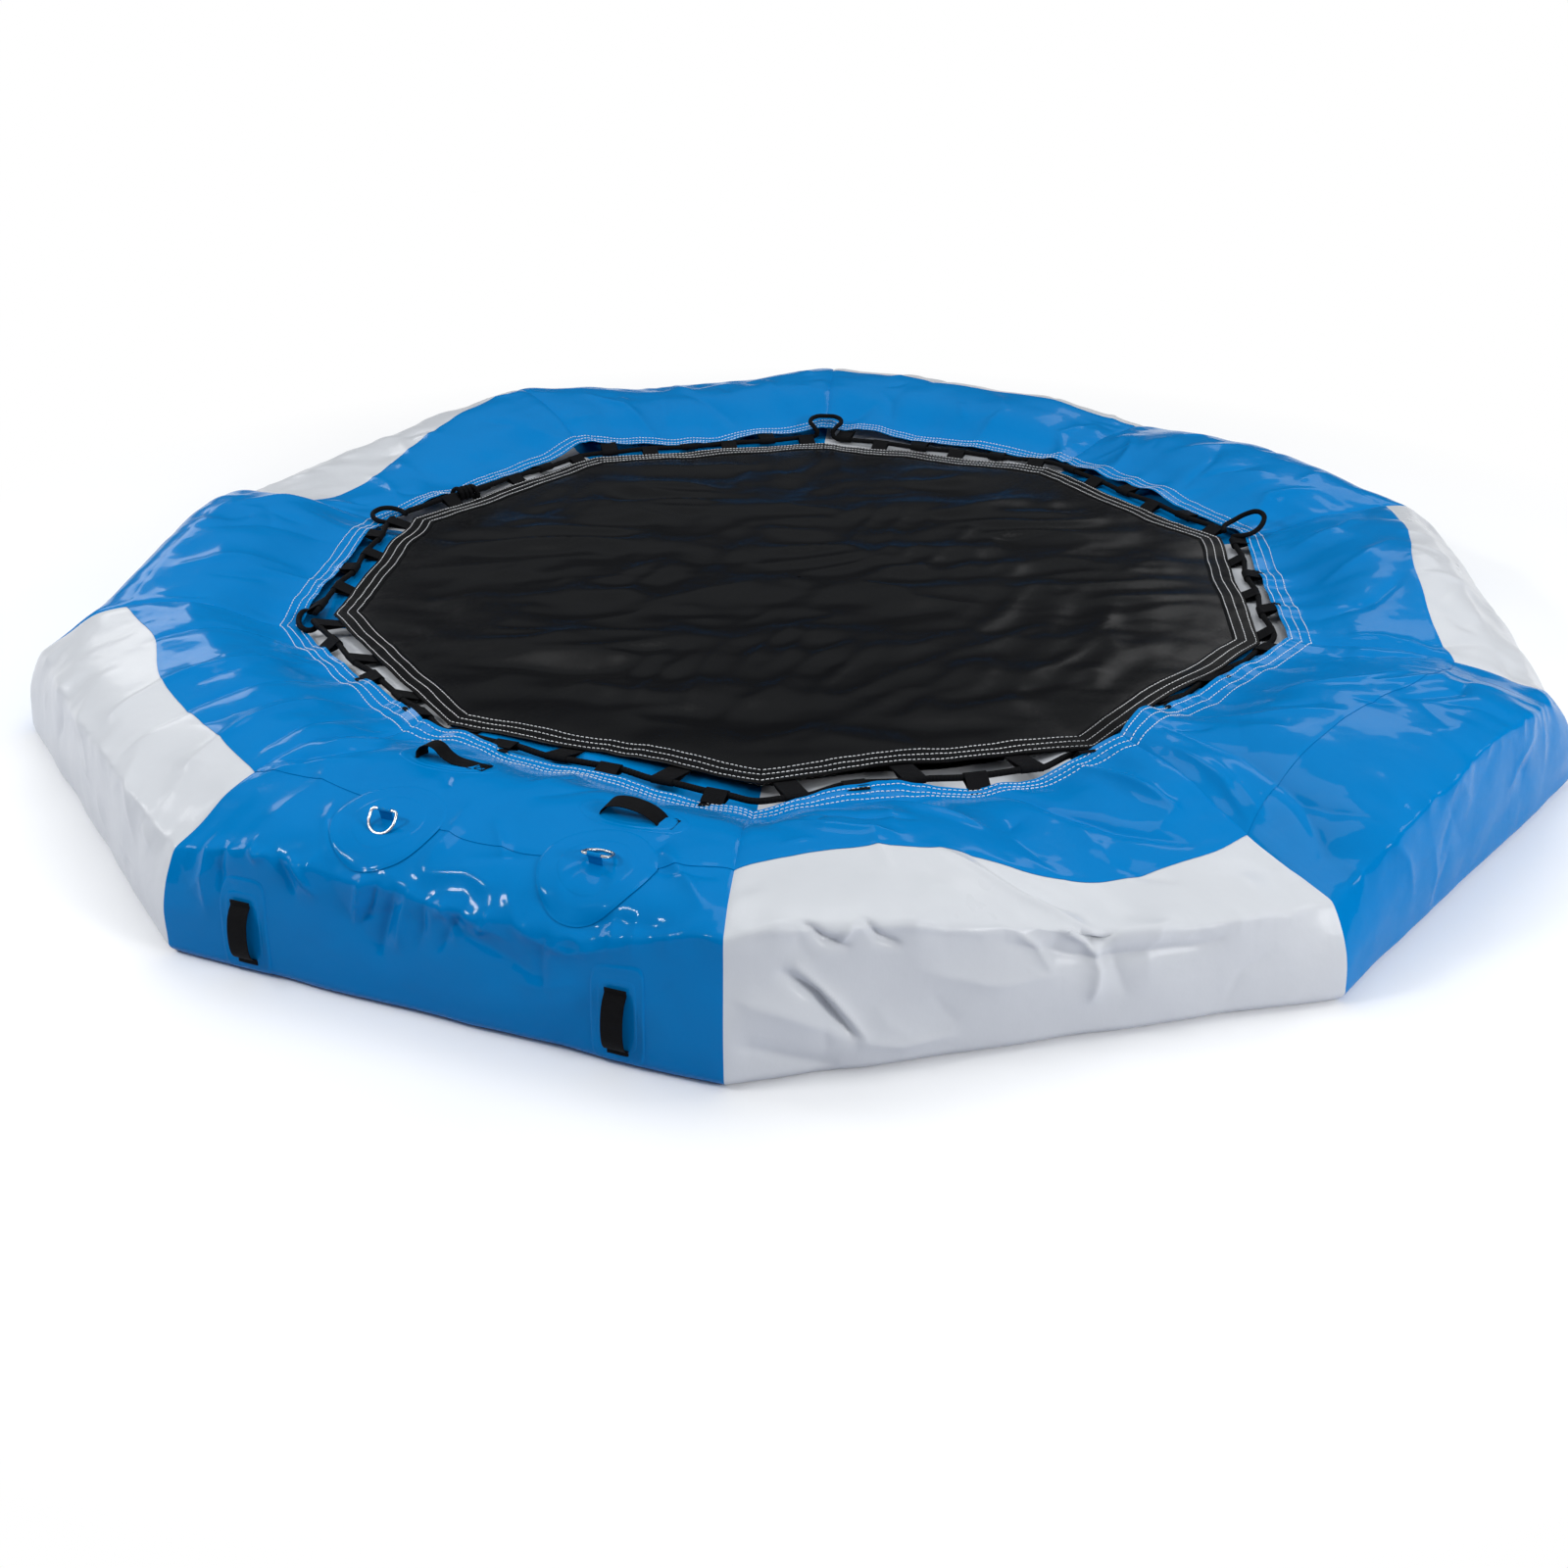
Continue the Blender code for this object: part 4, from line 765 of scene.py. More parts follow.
# The folds that each side lies in: the line along the side and up the skin, the height and the width.
FOLDS: dict[int, tuple[tuple[tuple[Pair, ...], float, float], ...]] = {
    # boarding side: dents that break the crease, and soft folds on the wall below it
    7: (
        (((-0.395, 0.270), (-0.375, 0.250), (-0.355, 0.262)), 0.01, 0.006),
        (((-0.300, 0.266), (-0.270, 0.240), (-0.245, 0.212)), 0.012, 0.007),
        (((-0.335, 0.266), (-0.310, 0.235), (-0.290, 0.200)), -0.011, 0.009),
        (((-0.135, 0.266), (-0.145, 0.215), (-0.155, 0.170)), 0.013, 0.007),
        (((-0.105, 0.266), (-0.125, 0.215), (-0.150, 0.172)), -0.011, 0.008),
        (((-0.070, 0.262), (-0.085, 0.200), (-0.100, 0.130)), -0.012, 0.012),
        (((-0.035, 0.266), (-0.050, 0.210), (-0.060, 0.150)), 0.011, 0.01),
        (((0.000, 0.262), (-0.005, 0.210), (-0.020, 0.160)), -0.009, 0.009),
        (((0.035, 0.266), (0.055, 0.235), (0.070, 0.200)), 0.009, 0.008),
        (((0.088, 0.266), (0.060, 0.225), (0.030, 0.170)), -0.009, 0.009),
        (((0.140, 0.266), (0.130, 0.242), (0.120, 0.225)), 0.008, 0.006),
        (((0.254, 0.252), (0.245, 0.190), (0.250, 0.140)), -0.008, 0.012),
        (((-0.460, 0.262), (-0.470, 0.220), (-0.465, 0.170)), -0.009, 0.008),
        (((-0.500, 0.250), (-0.505, 0.200), (-0.500, 0.130)), 0.008, 0.008),
        (((-0.235, 0.420), (-0.225, 0.370), (-0.200, 0.330)), 0.009, 0.006),
        (((-0.290, 0.400), (-0.260, 0.340), (-0.220, 0.290)), 0.007, 0.01),
        (((0.050, 0.450), (0.090, 0.400), (0.120, 0.360)), 0.006, 0.009),
        (((0.060, 0.340), (0.120, 0.360), (0.170, 0.370)), -0.006, 0.008),
        (((-0.020, 0.300), (0.060, 0.315), (0.130, 0.300)), 0.006, 0.01),
        (((0.200, 0.300), (0.270, 0.285), (0.340, 0.290)), -0.005, 0.01),
        (((-0.11, 0.290), (-0.02, 0.262), (0.08, 0.258), (0.18, 0.225)), 0.008, 0.012),
        (((0.02, 0.250), (0.14, 0.200), (0.24, 0.160)), -0.008, 0.024),
        (((0.16, 0.300), (0.20, 0.255), (0.30, 0.225), (0.42, 0.245)), 0.008, 0.014),
        (((0.28, 0.270), (0.38, 0.285), (0.50, 0.275)), -0.009, 0.016),
        (((-0.50, 0.250), (-0.44, 0.190), (-0.40, 0.110)), -0.007, 0.030),
        (((0.40, 0.460), (0.47, 0.390), (0.53, 0.330)), 0.012, 0.014),
        (((0.34, 0.420), (0.44, 0.400), (0.52, 0.410)), -0.008, 0.014),
        (((-0.52, 0.440), (-0.43, 0.510), (-0.34, 0.560)), 0.010, 0.016),
        (((-0.50, 0.520), (-0.40, 0.580), (-0.33, 0.640)), -0.009, 0.016),
        (((-0.44, 0.600), (-0.36, 0.680), (-0.33, 0.800)), 0.010, 0.016),
    ),
    # white side: the diagonal fold over its top, the notch in its crease, the leaf-shaped dent
    8: (
        (((-0.14, 0.470), (-0.06, 0.380), (0.03, 0.315), (0.085, 0.262)), 0.0203, 0.017),
        (((-0.08, 0.470), (0.00, 0.390), (0.07, 0.330)), -0.0145, 0.015),
        (((0.055, 0.275), (0.085, 0.245), (0.125, 0.262)), -0.029, 0.010),
        (((0.02, 0.268), (0.07, 0.240), (0.085, 0.215)), 0.0174, 0.009),
        (((0.09, 0.235), (0.095, 0.180), (0.085, 0.110)), 0.0174, 0.012),
        (((-0.08, 0.225), (0.05, 0.205), (0.16, 0.205), (0.34, 0.215)), -0.013, 0.015),
        (((-0.50, 0.185), (-0.44, 0.145), (-0.37, 0.070)), -0.0232, 0.008),
        (((-0.475, 0.195), (-0.405, 0.135), (-0.35, 0.070)), 0.0145, 0.007),
        (((-0.46, 0.262), (-0.425, 0.235), (-0.385, 0.225)), -0.0159, 0.005),
        (((-0.35, 0.262), (-0.325, 0.235), (-0.29, 0.222)), -0.0159, 0.005),
        (((-0.395, 0.228), (-0.385, 0.245), (-0.37, 0.262)), 0.0087, 0.005),
        (((-0.57, 0.262), (-0.48, 0.248), (-0.30, 0.252), (-0.10, 0.248)), 0.0058, 0.006),
        (((-0.60, 0.165), (-0.48, 0.115), (-0.36, 0.062)), 0.013, 0.026),
        (((-0.60, 0.085), (-0.50, 0.045), (-0.40, 0.015)), -0.013, 0.022),
        (((-0.36, 0.062), (-0.28, 0.045), (-0.18, 0.052)), 0.0087, 0.011),
        (((-0.24, 0.175), (-0.10, 0.150), (0.02, 0.165)), 0.0101, 0.026),
        (((-0.06, 0.250), (-0.02, 0.215), (0.00, 0.180)), 0.0116, 0.010),
        (((-0.42, 0.620), (-0.34, 0.560), (-0.22, 0.520)), 0.0145, 0.013),
        (((-0.36, 0.700), (-0.26, 0.620), (-0.16, 0.600)), -0.0116, 0.013),
        (((-0.20, 0.800), (-0.12, 0.690), (-0.02, 0.600)), 0.0159, 0.013),
        (((0.10, 0.820), (0.16, 0.700), (0.26, 0.580), (0.38, 0.500)), -0.0174, 0.019),
        (((0.28, 0.860), (0.34, 0.740), (0.40, 0.600)), 0.0174, 0.015),
    ),
    # right-hand sides
    9: (
        (((-0.40, 0.780), (-0.44, 0.620), (-0.52, 0.480)), 0.014, 0.024),
        (((-0.33, 0.820), (-0.34, 0.640), (-0.40, 0.460), (-0.50, 0.340)), -0.012, 0.024),
        (((-0.22, 0.840), (-0.18, 0.700), (-0.08, 0.560)), 0.010, 0.020),
        (((0.00, 0.720), (0.10, 0.600), (0.24, 0.540)), 0.010, 0.016),
        (((0.08, 0.480), (0.20, 0.400), (0.30, 0.420)), -0.010, 0.014),
        (((0.12, 0.560), (0.26, 0.470), (0.40, 0.480)), 0.010, 0.014),
        (((-0.42, 0.270), (-0.36, 0.200), (-0.33, 0.120)), 0.006, 0.014),
        (((0.36, 0.760), (0.42, 0.640), (0.50, 0.520)), -0.010, 0.018),
    ),
    10: (
        (((-0.40, 0.820), (-0.42, 0.660), (-0.50, 0.500)), 0.010, 0.018),
        (((-0.28, 0.800), (-0.22, 0.640), (-0.10, 0.540)), -0.010, 0.022),
        (((-0.05, 0.760), (0.02, 0.640), (0.12, 0.540)), 0.008, 0.020),
        (((0.20, 0.800), (0.26, 0.660), (0.38, 0.560)), 0.010, 0.020),
    ),
    # left-hand sides
    6: (
        (((-0.30, 0.800), (-0.28, 0.640), (-0.24, 0.480)), -0.009, 0.020),
        (((-0.06, 0.780), (0.00, 0.620), (0.02, 0.440), (0.06, 0.320)), 0.009, 0.016),
        (((0.08, 0.760), (0.14, 0.600), (0.18, 0.420), (0.22, 0.290)), -0.009, 0.018),
        (((0.24, 0.800), (0.28, 0.660), (0.34, 0.520), (0.40, 0.380)), 0.011, 0.016),
        (((0.34, 0.760), (0.40, 0.640), (0.47, 0.500)), -0.009, 0.014),
        (((-0.10, 0.300), (0.00, 0.240), (0.04, 0.160)), 0.006, 0.018),
        (((0.26, 0.310), (0.34, 0.250), (0.40, 0.180)), 0.007, 0.018),
    ),
    5: (
        (((-0.36, 0.780), (-0.28, 0.620), (-0.16, 0.500)), 0.012, 0.024),
        (((-0.10, 0.800), (-0.06, 0.640), (0.04, 0.500)), -0.009, 0.024),
        (((0.14, 0.780), (0.20, 0.640), (0.30, 0.520)), 0.010, 0.022),
    ),
    # far sides
    4: (
        (((0.28, 0.820), (0.22, 0.680), (0.20, 0.560)), 0.008, 0.022),
    ),
    3: (
        (((-0.42, 0.860), (-0.44, 0.720), (-0.50, 0.560)), 0.010, 0.018),
        (((-0.12, 0.800), (-0.06, 0.660), (0.00, 0.560)), -0.010, 0.022),
        (((0.16, 0.820), (0.22, 0.660), (0.34, 0.560)), 0.010, 0.018),
    ),
    2: (
        (((-0.38, 0.840), (-0.34, 0.700), (-0.42, 0.560)), 0.010, 0.018),
        (((-0.10, 0.820), (-0.14, 0.660), (-0.08, 0.540)), 0.009, 0.020),
        (((0.20, 0.840), (0.24, 0.700), (0.34, 0.600)), -0.009, 0.020),
    ),
    1: (
        (((-0.36, 0.840), (-0.30, 0.700), (-0.36, 0.560)), 0.011, 0.018),
        (((-0.06, 0.820), (-0.02, 0.660), (0.06, 0.540)), -0.009, 0.020),
        (((0.22, 0.840), (0.30, 0.700), (0.40, 0.600)), 0.011, 0.018),
    ),
}


@dataclass
class RingShape:
    """The slack ring's skin, side by side, with its crumples."""

    across_flats_half: float = 1.88309
    foot_inset: float = 0.0193
    foot_height: float = 0.0272
    wall: float = 0.26
    top: float = 0.533
    leaves_tube: float = 0.505
    free: float = 0.130
    shoulder_in: float = 0.060
    outer_top: float = 1.700
    crown: float = 1.520
    brow: float = 1.440
    inner_slope: float = 1.335
    shelf: tuple[Point, ...] = (
        (1.335, 0.016, 1.0), (1.312, 0.030, 0.242), (1.280, 0.036, 0.232), (1.240, 0.036, 0.229),
        (1.185, 0.034, 0.231), (1.125, 0.040, 0.228),
    )
    inside: tuple[Pair, ...] = (
        (1.096, 0.196), (1.086, 0.150), (1.085, 0.110), (1.095, 0.060), (1.125, 0.020), (1.170, 0.0),
        (1.500, 0.0), (1.680, 0.0), (1.800, 0.0), (1.845, 0.0), (1.8638, 0.0008),
    )
    # Places kept smooth under fittings: side, along, up, radius, and how deep the skin is dented there.
    calm: tuple[tuple[int, float, float, float, float], ...] = ()
    soft: Ripple = Ripple(11)
    fine: Ripple = Ripple(23)
    pucker: Ripple = Ripple(37)
    wave: Ripple = Ripple(41)
    unevenness: dict[int, float] = field(
        default_factory=lambda: {1: 0.005, 2: 0.009, 3: 0.007, 9: 0.006}
    )
    zigzag: dict[int, float] = field(default_factory=lambda: {7: 0.0055, 9: 0.0035})
    top_folds: int = 12
    wall_folds: int = 8
    tables: dict[int, Array] = field(default_factory=dict)
    loose: dict[int, list[Fold]] = field(default_factory=dict)

    @property
    def free_edge(self) -> float:
        """The way in over the top to the apron's free edge."""
        return self.wall + self.leaves_tube + self.free

    def station(self, column: int, angle: Array) -> Array:
        """One column of the stations at any angle, in degrees, with an even run between them."""
        if column not in self.tables:
            grid = np.arange(0.0, 360.0, 0.5)
            rows = np.array(STATIONS)
            raw = np.interp(grid, rows[:, 0], rows[:, column], period=360.0)
            spread = np.exp(-0.5 * (np.arange(-12, 13) * 0.5 / 1.6) ** 2)
            spread /= spread.sum()
            wide = np.concatenate([raw[-12:], raw, raw[:12]])
            even = np.convolve(wide, spread, mode="valid")
            turn = np.radians(grid)
            round_x, round_y = np.cos(turn) * 1.868, np.sin(turn) * 1.868
            wander = self.pucker.at(round_x / 0.13, round_y / 0.13, column * 5.3)
            wander = wander + 0.5 * self.pucker.at(round_x / 0.06, round_y / 0.06, column * 7.7)
            self.tables[column] = even + self.unevenness.get(column, 0.0) * wander
        return np.interp(angle % 360.0, np.arange(0.0, 360.0, 0.5), self.tables[column], period=360.0)

    def top_height(self, out: Array, angle: Array) -> Array:
        """The height of the top skin, without its crumples, from the crease to the inner slope."""
        crease_out = self.station(1, angle)
        lines = (self.outer_top, self.crown, self.brow, self.inner_slope)
        levels = [np.full_like(out, place) for place in lines]
        knots = np.stack([crease_out, crease_out - self.shoulder_in, *levels])
        heights = np.stack([self.station(column, angle) for column in (2, 3, 4, 5, 6, 7)])
        gaps = np.diff(knots, axis=0)
        rates = np.diff(heights, axis=0) / gaps
        slopes = np.concatenate([rates[:1], (rates[:-1] + rates[1:]) / 2, rates[-1:]])
        height = heights[0] + rates[0] * (out - knots[0])
        for step in range(len(gaps)):
            share = np.clip((out - knots[step]) / gaps[step], 0, 1)
            run = (
                heights[step] * (2 * share**3 - 3 * share**2 + 1)
                + slopes[step] * gaps[step] * (share**3 - 2 * share**2 + share)
                + heights[step + 1] * (3 * share**2 - 2 * share**3)
                + slopes[step + 1] * gaps[step] * (share**3 - share**2)
            )
            height = np.where(out <= knots[step], run, height)
        return height

    def section(self, up: Array, angle: Array, apron: bool) -> tuple[Array, Array]:
        """The skin without crumples.

        Args:
            up: the way up the wall and in over the top. Below 0 it runs from the inner slope down
                inside and out to the foot.
            angle: the angle round the ring, in degrees.
            apron: True for the apron, which leaves the tube and runs to its free edge.

        Returns:
            Distance out and height.
        """
        crease_out, crease = self.station(1, angle), self.station(2, angle)
        share = np.clip(up / self.wall, 0, 1)
        foot = np.clip(1 - share * crease / self.foot_height, 0, 1)
        wall_out = (
            self.across_flats_half - self.foot_inset * foot**2
            - (self.across_flats_half - crease_out) * share**2.6
        )
        top_out = crease_out - (up - self.wall) * (crease_out - self.inner_slope) / self.top
        on_top = up > self.wall
        out = np.where(on_top, top_out, wall_out)
        height = np.where(on_top, self.top_height(top_out, angle), share * crease)
        if apron:
            leaves = crease_out - self.leaves_tube * (crease_out - self.inner_slope) / self.top
            start = self.top_height(leaves, angle)
            slope = (start - self.top_height(leaves + 0.01, angle)) / 0.01
            edge_out, edge = self.station(8, angle), self.station(9, angle)
            run = np.clip((up - self.wall - self.leaves_tube) / self.free, 0, 1.2)
            reach = leaves - edge_out
            end_slope = self.station(10, angle)
            free = (
                start * (2 * run**3 - 3 * run**2 + 1) + slope * reach * (run**3 - 2 * run**2 + run)
                + edge * (3 * run**2 - 2 * run**3) + end_slope * reach * (run**3 - run**2)
            )
            loose = up > self.wall + self.leaves_tube
            out = np.where(loose, leaves - reach * run, out)
            height = np.where(loose, free, height)
        else:
            shelf, rows = np.array(self.shelf), np.array(self.inside)
            knots = np.arange(len(shelf) + len(rows))
            place = np.clip(up + 1, 0, 1) * knots[-1]
            inner_out = np.interp(place, knots, np.concatenate([shelf[:, 0], rows[:, 0]]))
            drop = np.interp(place, knots[: len(shelf)], shelf[:, 1])
            top = np.interp(place, knots[: len(shelf)], shelf[:, 2])
            slack = 0.006 * self.soft.at(np.radians(angle) * inner_out / 0.12, inner_out / 0.09, 0.4)
            level = np.minimum(self.station(7, angle) - drop, top + slack)
            low = np.interp(place, knots[len(shelf) - 1:], np.concatenate([shelf[-1:, 2], rows[:, 1]]))
            sunk = smooth_step(len(shelf) - 1, len(shelf) + 1, place)
            inner_height = level * (1 - sunk) + low * sunk
            hidden = up < 0
            out = np.where(hidden, inner_out, out)
            height = np.where(hidden, inner_height, height)
        return out, height

    def rounded(self, up: Array, angle: Array, apron: bool) -> tuple[Array, Array]:
        """The skin with its crease rounded off."""
        if apron:
            return self.section(up, angle, True)
        near = (up > 0.2) & (up < 0.32)
        out, height = self.section(up, angle, False)
        if near.any():
            some_up, some_angle = up[near], angle[near]
            total_out, total_height = np.zeros(some_up.shape), np.zeros(some_up.shape)
            for weight, shift in zip((1, 4, 6, 4, 1), (-0.012, -0.006, 0.0, 0.006, 0.012)):
                one = self.section(some_up + shift, some_angle, False)
                total_out += one[0] * weight / 16
                total_height += one[1] * weight / 16
            out[near], height[near] = total_out, total_height
        return out, height

    def folds(self, side: int) -> list[Fold]:
        """The side's drawn folds, and small loose ones between them."""
        if side not in self.loose:
            chance = np.random.default_rng(900 + side)
            made = [Fold(*drawn) for drawn in FOLDS[side]]
            for _ in range(self.top_folds):
                up, length = chance.uniform(0.34, 0.80), chance.uniform(0.07, 0.20)
                along = chance.uniform(-0.46, 0.46)
                lean, bend = chance.normal(0.0, 0.55), chance.normal(0.0, 0.25)
                height = chance.uniform(0.0035, 0.0085) * chance.choice((-1, 1))
                made.append(self.loose_fold(along, up, length, lean, bend, height, chance))
            for _ in range(self.wall_folds):
                up, length = chance.uniform(0.08, 0.25), chance.uniform(0.06, 0.16)
                along = chance.uniform(-0.50, 0.50)
                lean, bend = chance.normal(0.9, 0.6) * chance.choice((-1, 1)), chance.normal(0.0, 0.3)
                height = chance.uniform(0.0030, 0.0065) * chance.choice((-1, 1))
                made.append(self.loose_fold(along, up, length, lean, bend, height, chance))
            self.loose[side] = made
        return self.loose[side]

    @staticmethod
    def loose_fold(
        along: float, up: float, length: float, lean: float, bend: float, height: float,
        chance: np.random.Generator,
    ) -> Fold:
        """One small fold about a place, with a bend in its middle.

        Args:
            along, up: its middle.
            length: its length.
            lean, bend: its slant and how much it turns at its middle, in radians.
            height: how high it stands.
            chance: draws its width.

        Returns:
            The fold.
        """
        first = (along - math.sin(lean) * length / 2, up - math.cos(lean) * length / 2)
        last = (along + math.sin(lean + bend) * length / 2, up + math.cos(lean + bend) * length / 2)
        return Fold((first, (along, up), last), height, float(chance.uniform(0.011, 0.032)))

    def crumples(
        self, side: int, along: Array, up: Array, share: Array, out: Array, height: Array
    ) -> Array:
        """How far the skin's crumples lift it, square to itself.

        Args:
            side: the side's number.
            along, up: places on the skin in metres.
            share: the share of the way from the side's middle to a corner, -1 to 1.
            out, height: the same places in the side's frame.

        Returns:
            The lift, which is 0 where the skin is hidden inside.
        """
        world = to_ring(side, out, along, height)
        x, y, z = world[:, 0], world[:, 1], world[:, 2]
        seam = (1 - np.abs(share)) * out * SLANT
        clear = smooth_step(0.0, 0.05, seam)
        shown = smooth_step(-0.05, 0.04, up)
        on_top = smooth_step(self.wall - 0.02, self.wall + 0.06, up)
        lift = 0.0085 * self.soft.at(x / 0.23, y / 0.23, z / 0.17)
        lift += 0.0022 * self.soft.at(x / 0.095 + 9.0, y / 0.095, z / 0.08)
        lift += 0.0003 * self.fine.at(x / 0.028, y / 0.028, z / 0.024)
        zigzag = self.zigzag.get(side, 0.0022) * np.exp(-(((up - self.wall) / 0.032) ** 2))
        lift += zigzag * self.pucker.creased(along / 0.085, up / 0.11) * clear
        near_edge = smooth_step(0.45, 0.86, up)
        lift += 0.0120 * near_edge * self.wave.at(along / 0.115 + side * 3.3, up / 0.60) * clear
        at_seam = np.exp(-seam / 0.060)
        drawn = self.pucker.at(up / 0.048 + side * 2.9 + (share > 0) * 11.0, seam / 0.16)
        lift += 0.0060 * at_seam * drawn * clear * (0.35 + 0.65 * on_top)
        lift -= 0.0055 * np.exp(-seam / 0.012) * (0.25 + 0.75 * on_top)
        for fold in self.folds(side):
            lift += fold.rise(along, up) * clear
        for calm_side, calm_along, calm_up, radius, dent in self.calm:
            if calm_side == side:
                rest = smooth_step(0.75, 1.5, np.hypot(along - calm_along, up - calm_up) / radius)
                lift = lift * rest - dent * (1 - rest)
        return lift * shown

    def skin(self, side: int, share: Array, up: Array, lift: Array | float, apron: bool) -> Array:
        """Places on a side's crumpled skin.

        Args:
            side: the side's number.
            share: the share of the way from the side's middle to a corner, -1 to 1.
            up: the way up the wall and in over the top.
            lift: how far off the skin the places are.
            apron: True for the apron's free part.

        Returns:
            Places in the ring's frame, one to a row.
        """
        angle = middle_angle(side) + np.degrees(np.arctan(share * SLANT))
        out, height = self.rounded(up, angle, apron)
        step = 0.003
        ahead = self.rounded(np.where(up < 0, up, up + step), angle, apron)
        behind = self.rounded(np.where(up < 0, up, np.maximum(up - step, 0.0)), angle, apron)
        way_out, way_up = ahead[0] - behind[0], ahead[1] - behind[1]
        size = np.hypot(way_out, way_up)
        size = np.where(size < 1e-9, 1.0, size)
        normal_out, normal_up = way_up / size, -way_out / size
        along = share * out * SLANT
        rise = self.crumples(side, along, up, share, out, height) + lift
        out = out + rise * normal_out
        height = np.maximum(height + rise * normal_up, 0.0)
        return to_ring(side, out, share * out * SLANT, height)

    def spot(self, side: int, along: Array, up: Array, lift: Array | float) -> Array:
        """Places over a side's skin by metres along and up, for what is laid on it."""
        angle = np.full(np.shape(along), middle_angle(side))
        out, _ = self.rounded(np.asarray(up, float), angle, True)
        return self.skin(side, along / (out * SLANT), np.asarray(up, float), lift, True)

    def up_at(self, out: float, angle: float) -> float:
        """The way in over the top at which the skin is that far out."""
        crease_out = float(self.station(1, np.array([angle]))[0])
        return self.wall + (crease_out - out) * self.top / (crease_out - self.inner_slope)


@dataclass
class Ring:
    """The ten tube segments and the ten apron panels."""

    shape: RingShape
    finishes: Finishes
    near: tuple[int, ...] = (6, 7, 8, 9)
    near_tube: tuple[int, int, int] = (250, 64, 84)
    far_tube: tuple[int, int, int] = (130, 40, 54)
    near_apron: tuple[int, int] = (230, 96)
    far_apron: tuple[int, int] = (120, 60)
    below_apron: float = 0.0030
    below_edge: float = 0.0120
    apron_lift: float = 0.0012
    apron_thickness: float = 0.0010
    flat_width: float = 1.10
    flat_depth: float = 0.50
    valve_side: int = 3
    valve_hole: float = 0.0160

    def rows(self, wall: int, top: int) -> Array:
        """The tube's rows from the inner slope down inside, round the foot and up over the top."""
        inside = np.linspace(-1.0, 0.0, 27)[:-1]
        outer = np.linspace(0.0, self.shape.wall, wall + 1)[:-1]
        over = np.linspace(self.shape.wall, self.shape.wall + self.shape.top, top + 1)
        return np.concatenate([inside, outer, over])

    def weld_line(self, side: int, share: Array) -> Array:
        """The way in over the top at which a side's apron is welded to the tube."""
        drift = self.shape.wave.at(share * 2.3 + side * 5.1, share * 0.0 + 2.0)
        angle = middle_angle(side) + np.degrees(np.arctan(share * SLANT))
        crease_out = self.shape.station(1, angle)
        scale = self.shape.top / (crease_out - self.shape.inner_slope)
        out = self.shape.station(11, angle) + 0.006 * drift * (1 - share**2)
        return self.shape.wall + (crease_out - out) * scale

    def tube(self, side: int) -> Piece:
        """One welded segment of the inflated tube."""
        columns, wall, top = self.near_tube if side in self.near else self.far_tube
        rows = self.rows(wall, top)

        def place(across: Array, upwards: Array) -> Array:
            """A point of the segment's skin."""
            up = rows[np.rint(upwards * (len(rows) - 1)).astype(int)]
            share = across * 2 - 1
            under = smooth_step(0.0, 0.03, up - self.weld_line(side, share) - 0.004)
            sunk = -self.below_apron * under - self.below_edge * smooth_step(0.64, 0.76, up)
            return self.shape.skin(side, share, up, sunk, False)

        bm = draped_grid(columns, len(rows) - 1, place, (1.2, 2.0))
        if side == self.valve_side:
            self.open_valve_hole(bm)
        bmesh.ops.remove_doubles(bm, verts=bm.verts, dist=0.00002)
        ends = [edge for edge in bm.edges if edge.is_boundary and self.at_mitre(edge)]
        bmesh.ops.holes_fill(bm, edges=ends, sides=0)
        bmesh.ops.recalc_face_normals(bm, faces=bm.faces)
        return new_piece(f"ring_tube_{side:02}", bm, 70.0)

    def at_mitre(self, edge: bmesh.types.BMEdge) -> bool:
        """True if an edge lies in the plane between two sides."""
        for vert in edge.verts:
            turns = math.degrees(math.atan2(vert.co.y, vert.co.x)) / TURN
            if abs(turns - round(turns)) > 0.002:
                return False
        return True

    def open_valve_hole(self, bm: Surface) -> None:
        """Cuts the hole that the valve's sleeve passes through."""
        level = float(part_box("valve_stem")[0].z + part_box("valve_stem")[1].z) / 2
        wall = self.shape.across_flats_half - 0.02
        near = [vert for vert in bm.verts if vert.co.y > wall]
        inner = [vert for vert in near if math.hypot(vert.co.x, vert.co.z - level) < self.valve_hole]
        for vert in inner:
            away = Vector((vert.co.x, 0.0, vert.co.z - level))
            if away.length > self.valve_hole * 0.62:
                vert.co += away.normalized() * (self.valve_hole - away.length)
        gone = [v for v in inner if math.hypot(v.co.x, v.co.z - level) < self.valve_hole * 0.95]
        bmesh.ops.delete(bm, geom=gone, context="VERTS")

    def apron(self, side: int) -> Piece:
        """One apron panel, from its weld on the tube to its free edge over the lacing."""
        columns, rows = self.near_apron if side in self.near else self.far_apron
        end = self.shape.free_edge

        def place(across: Array, inwards: Array) -> Array:
            """A point of the panel's skin."""
            share = across * 2 - 1
            start = self.weld_line(side, share)
            up = start + (end - start) * inwards
            lift = self.apron_lift * smooth_step(0.0, 0.03, inwards) + 0.0004
            return self.shape.skin(side, share, up, lift, True)

        bm = draped_grid(columns, rows, place, (self.flat_width, self.flat_depth))
        face_along(bm, Vector((0, 0, 1)))
        for vert in bm.verts:
            vert.co += vert.normal * self.apron_thickness
        thicken(bm, self.apron_thickness)
        return new_piece(f"ring_apron_{side:02}", bm, 50.0)

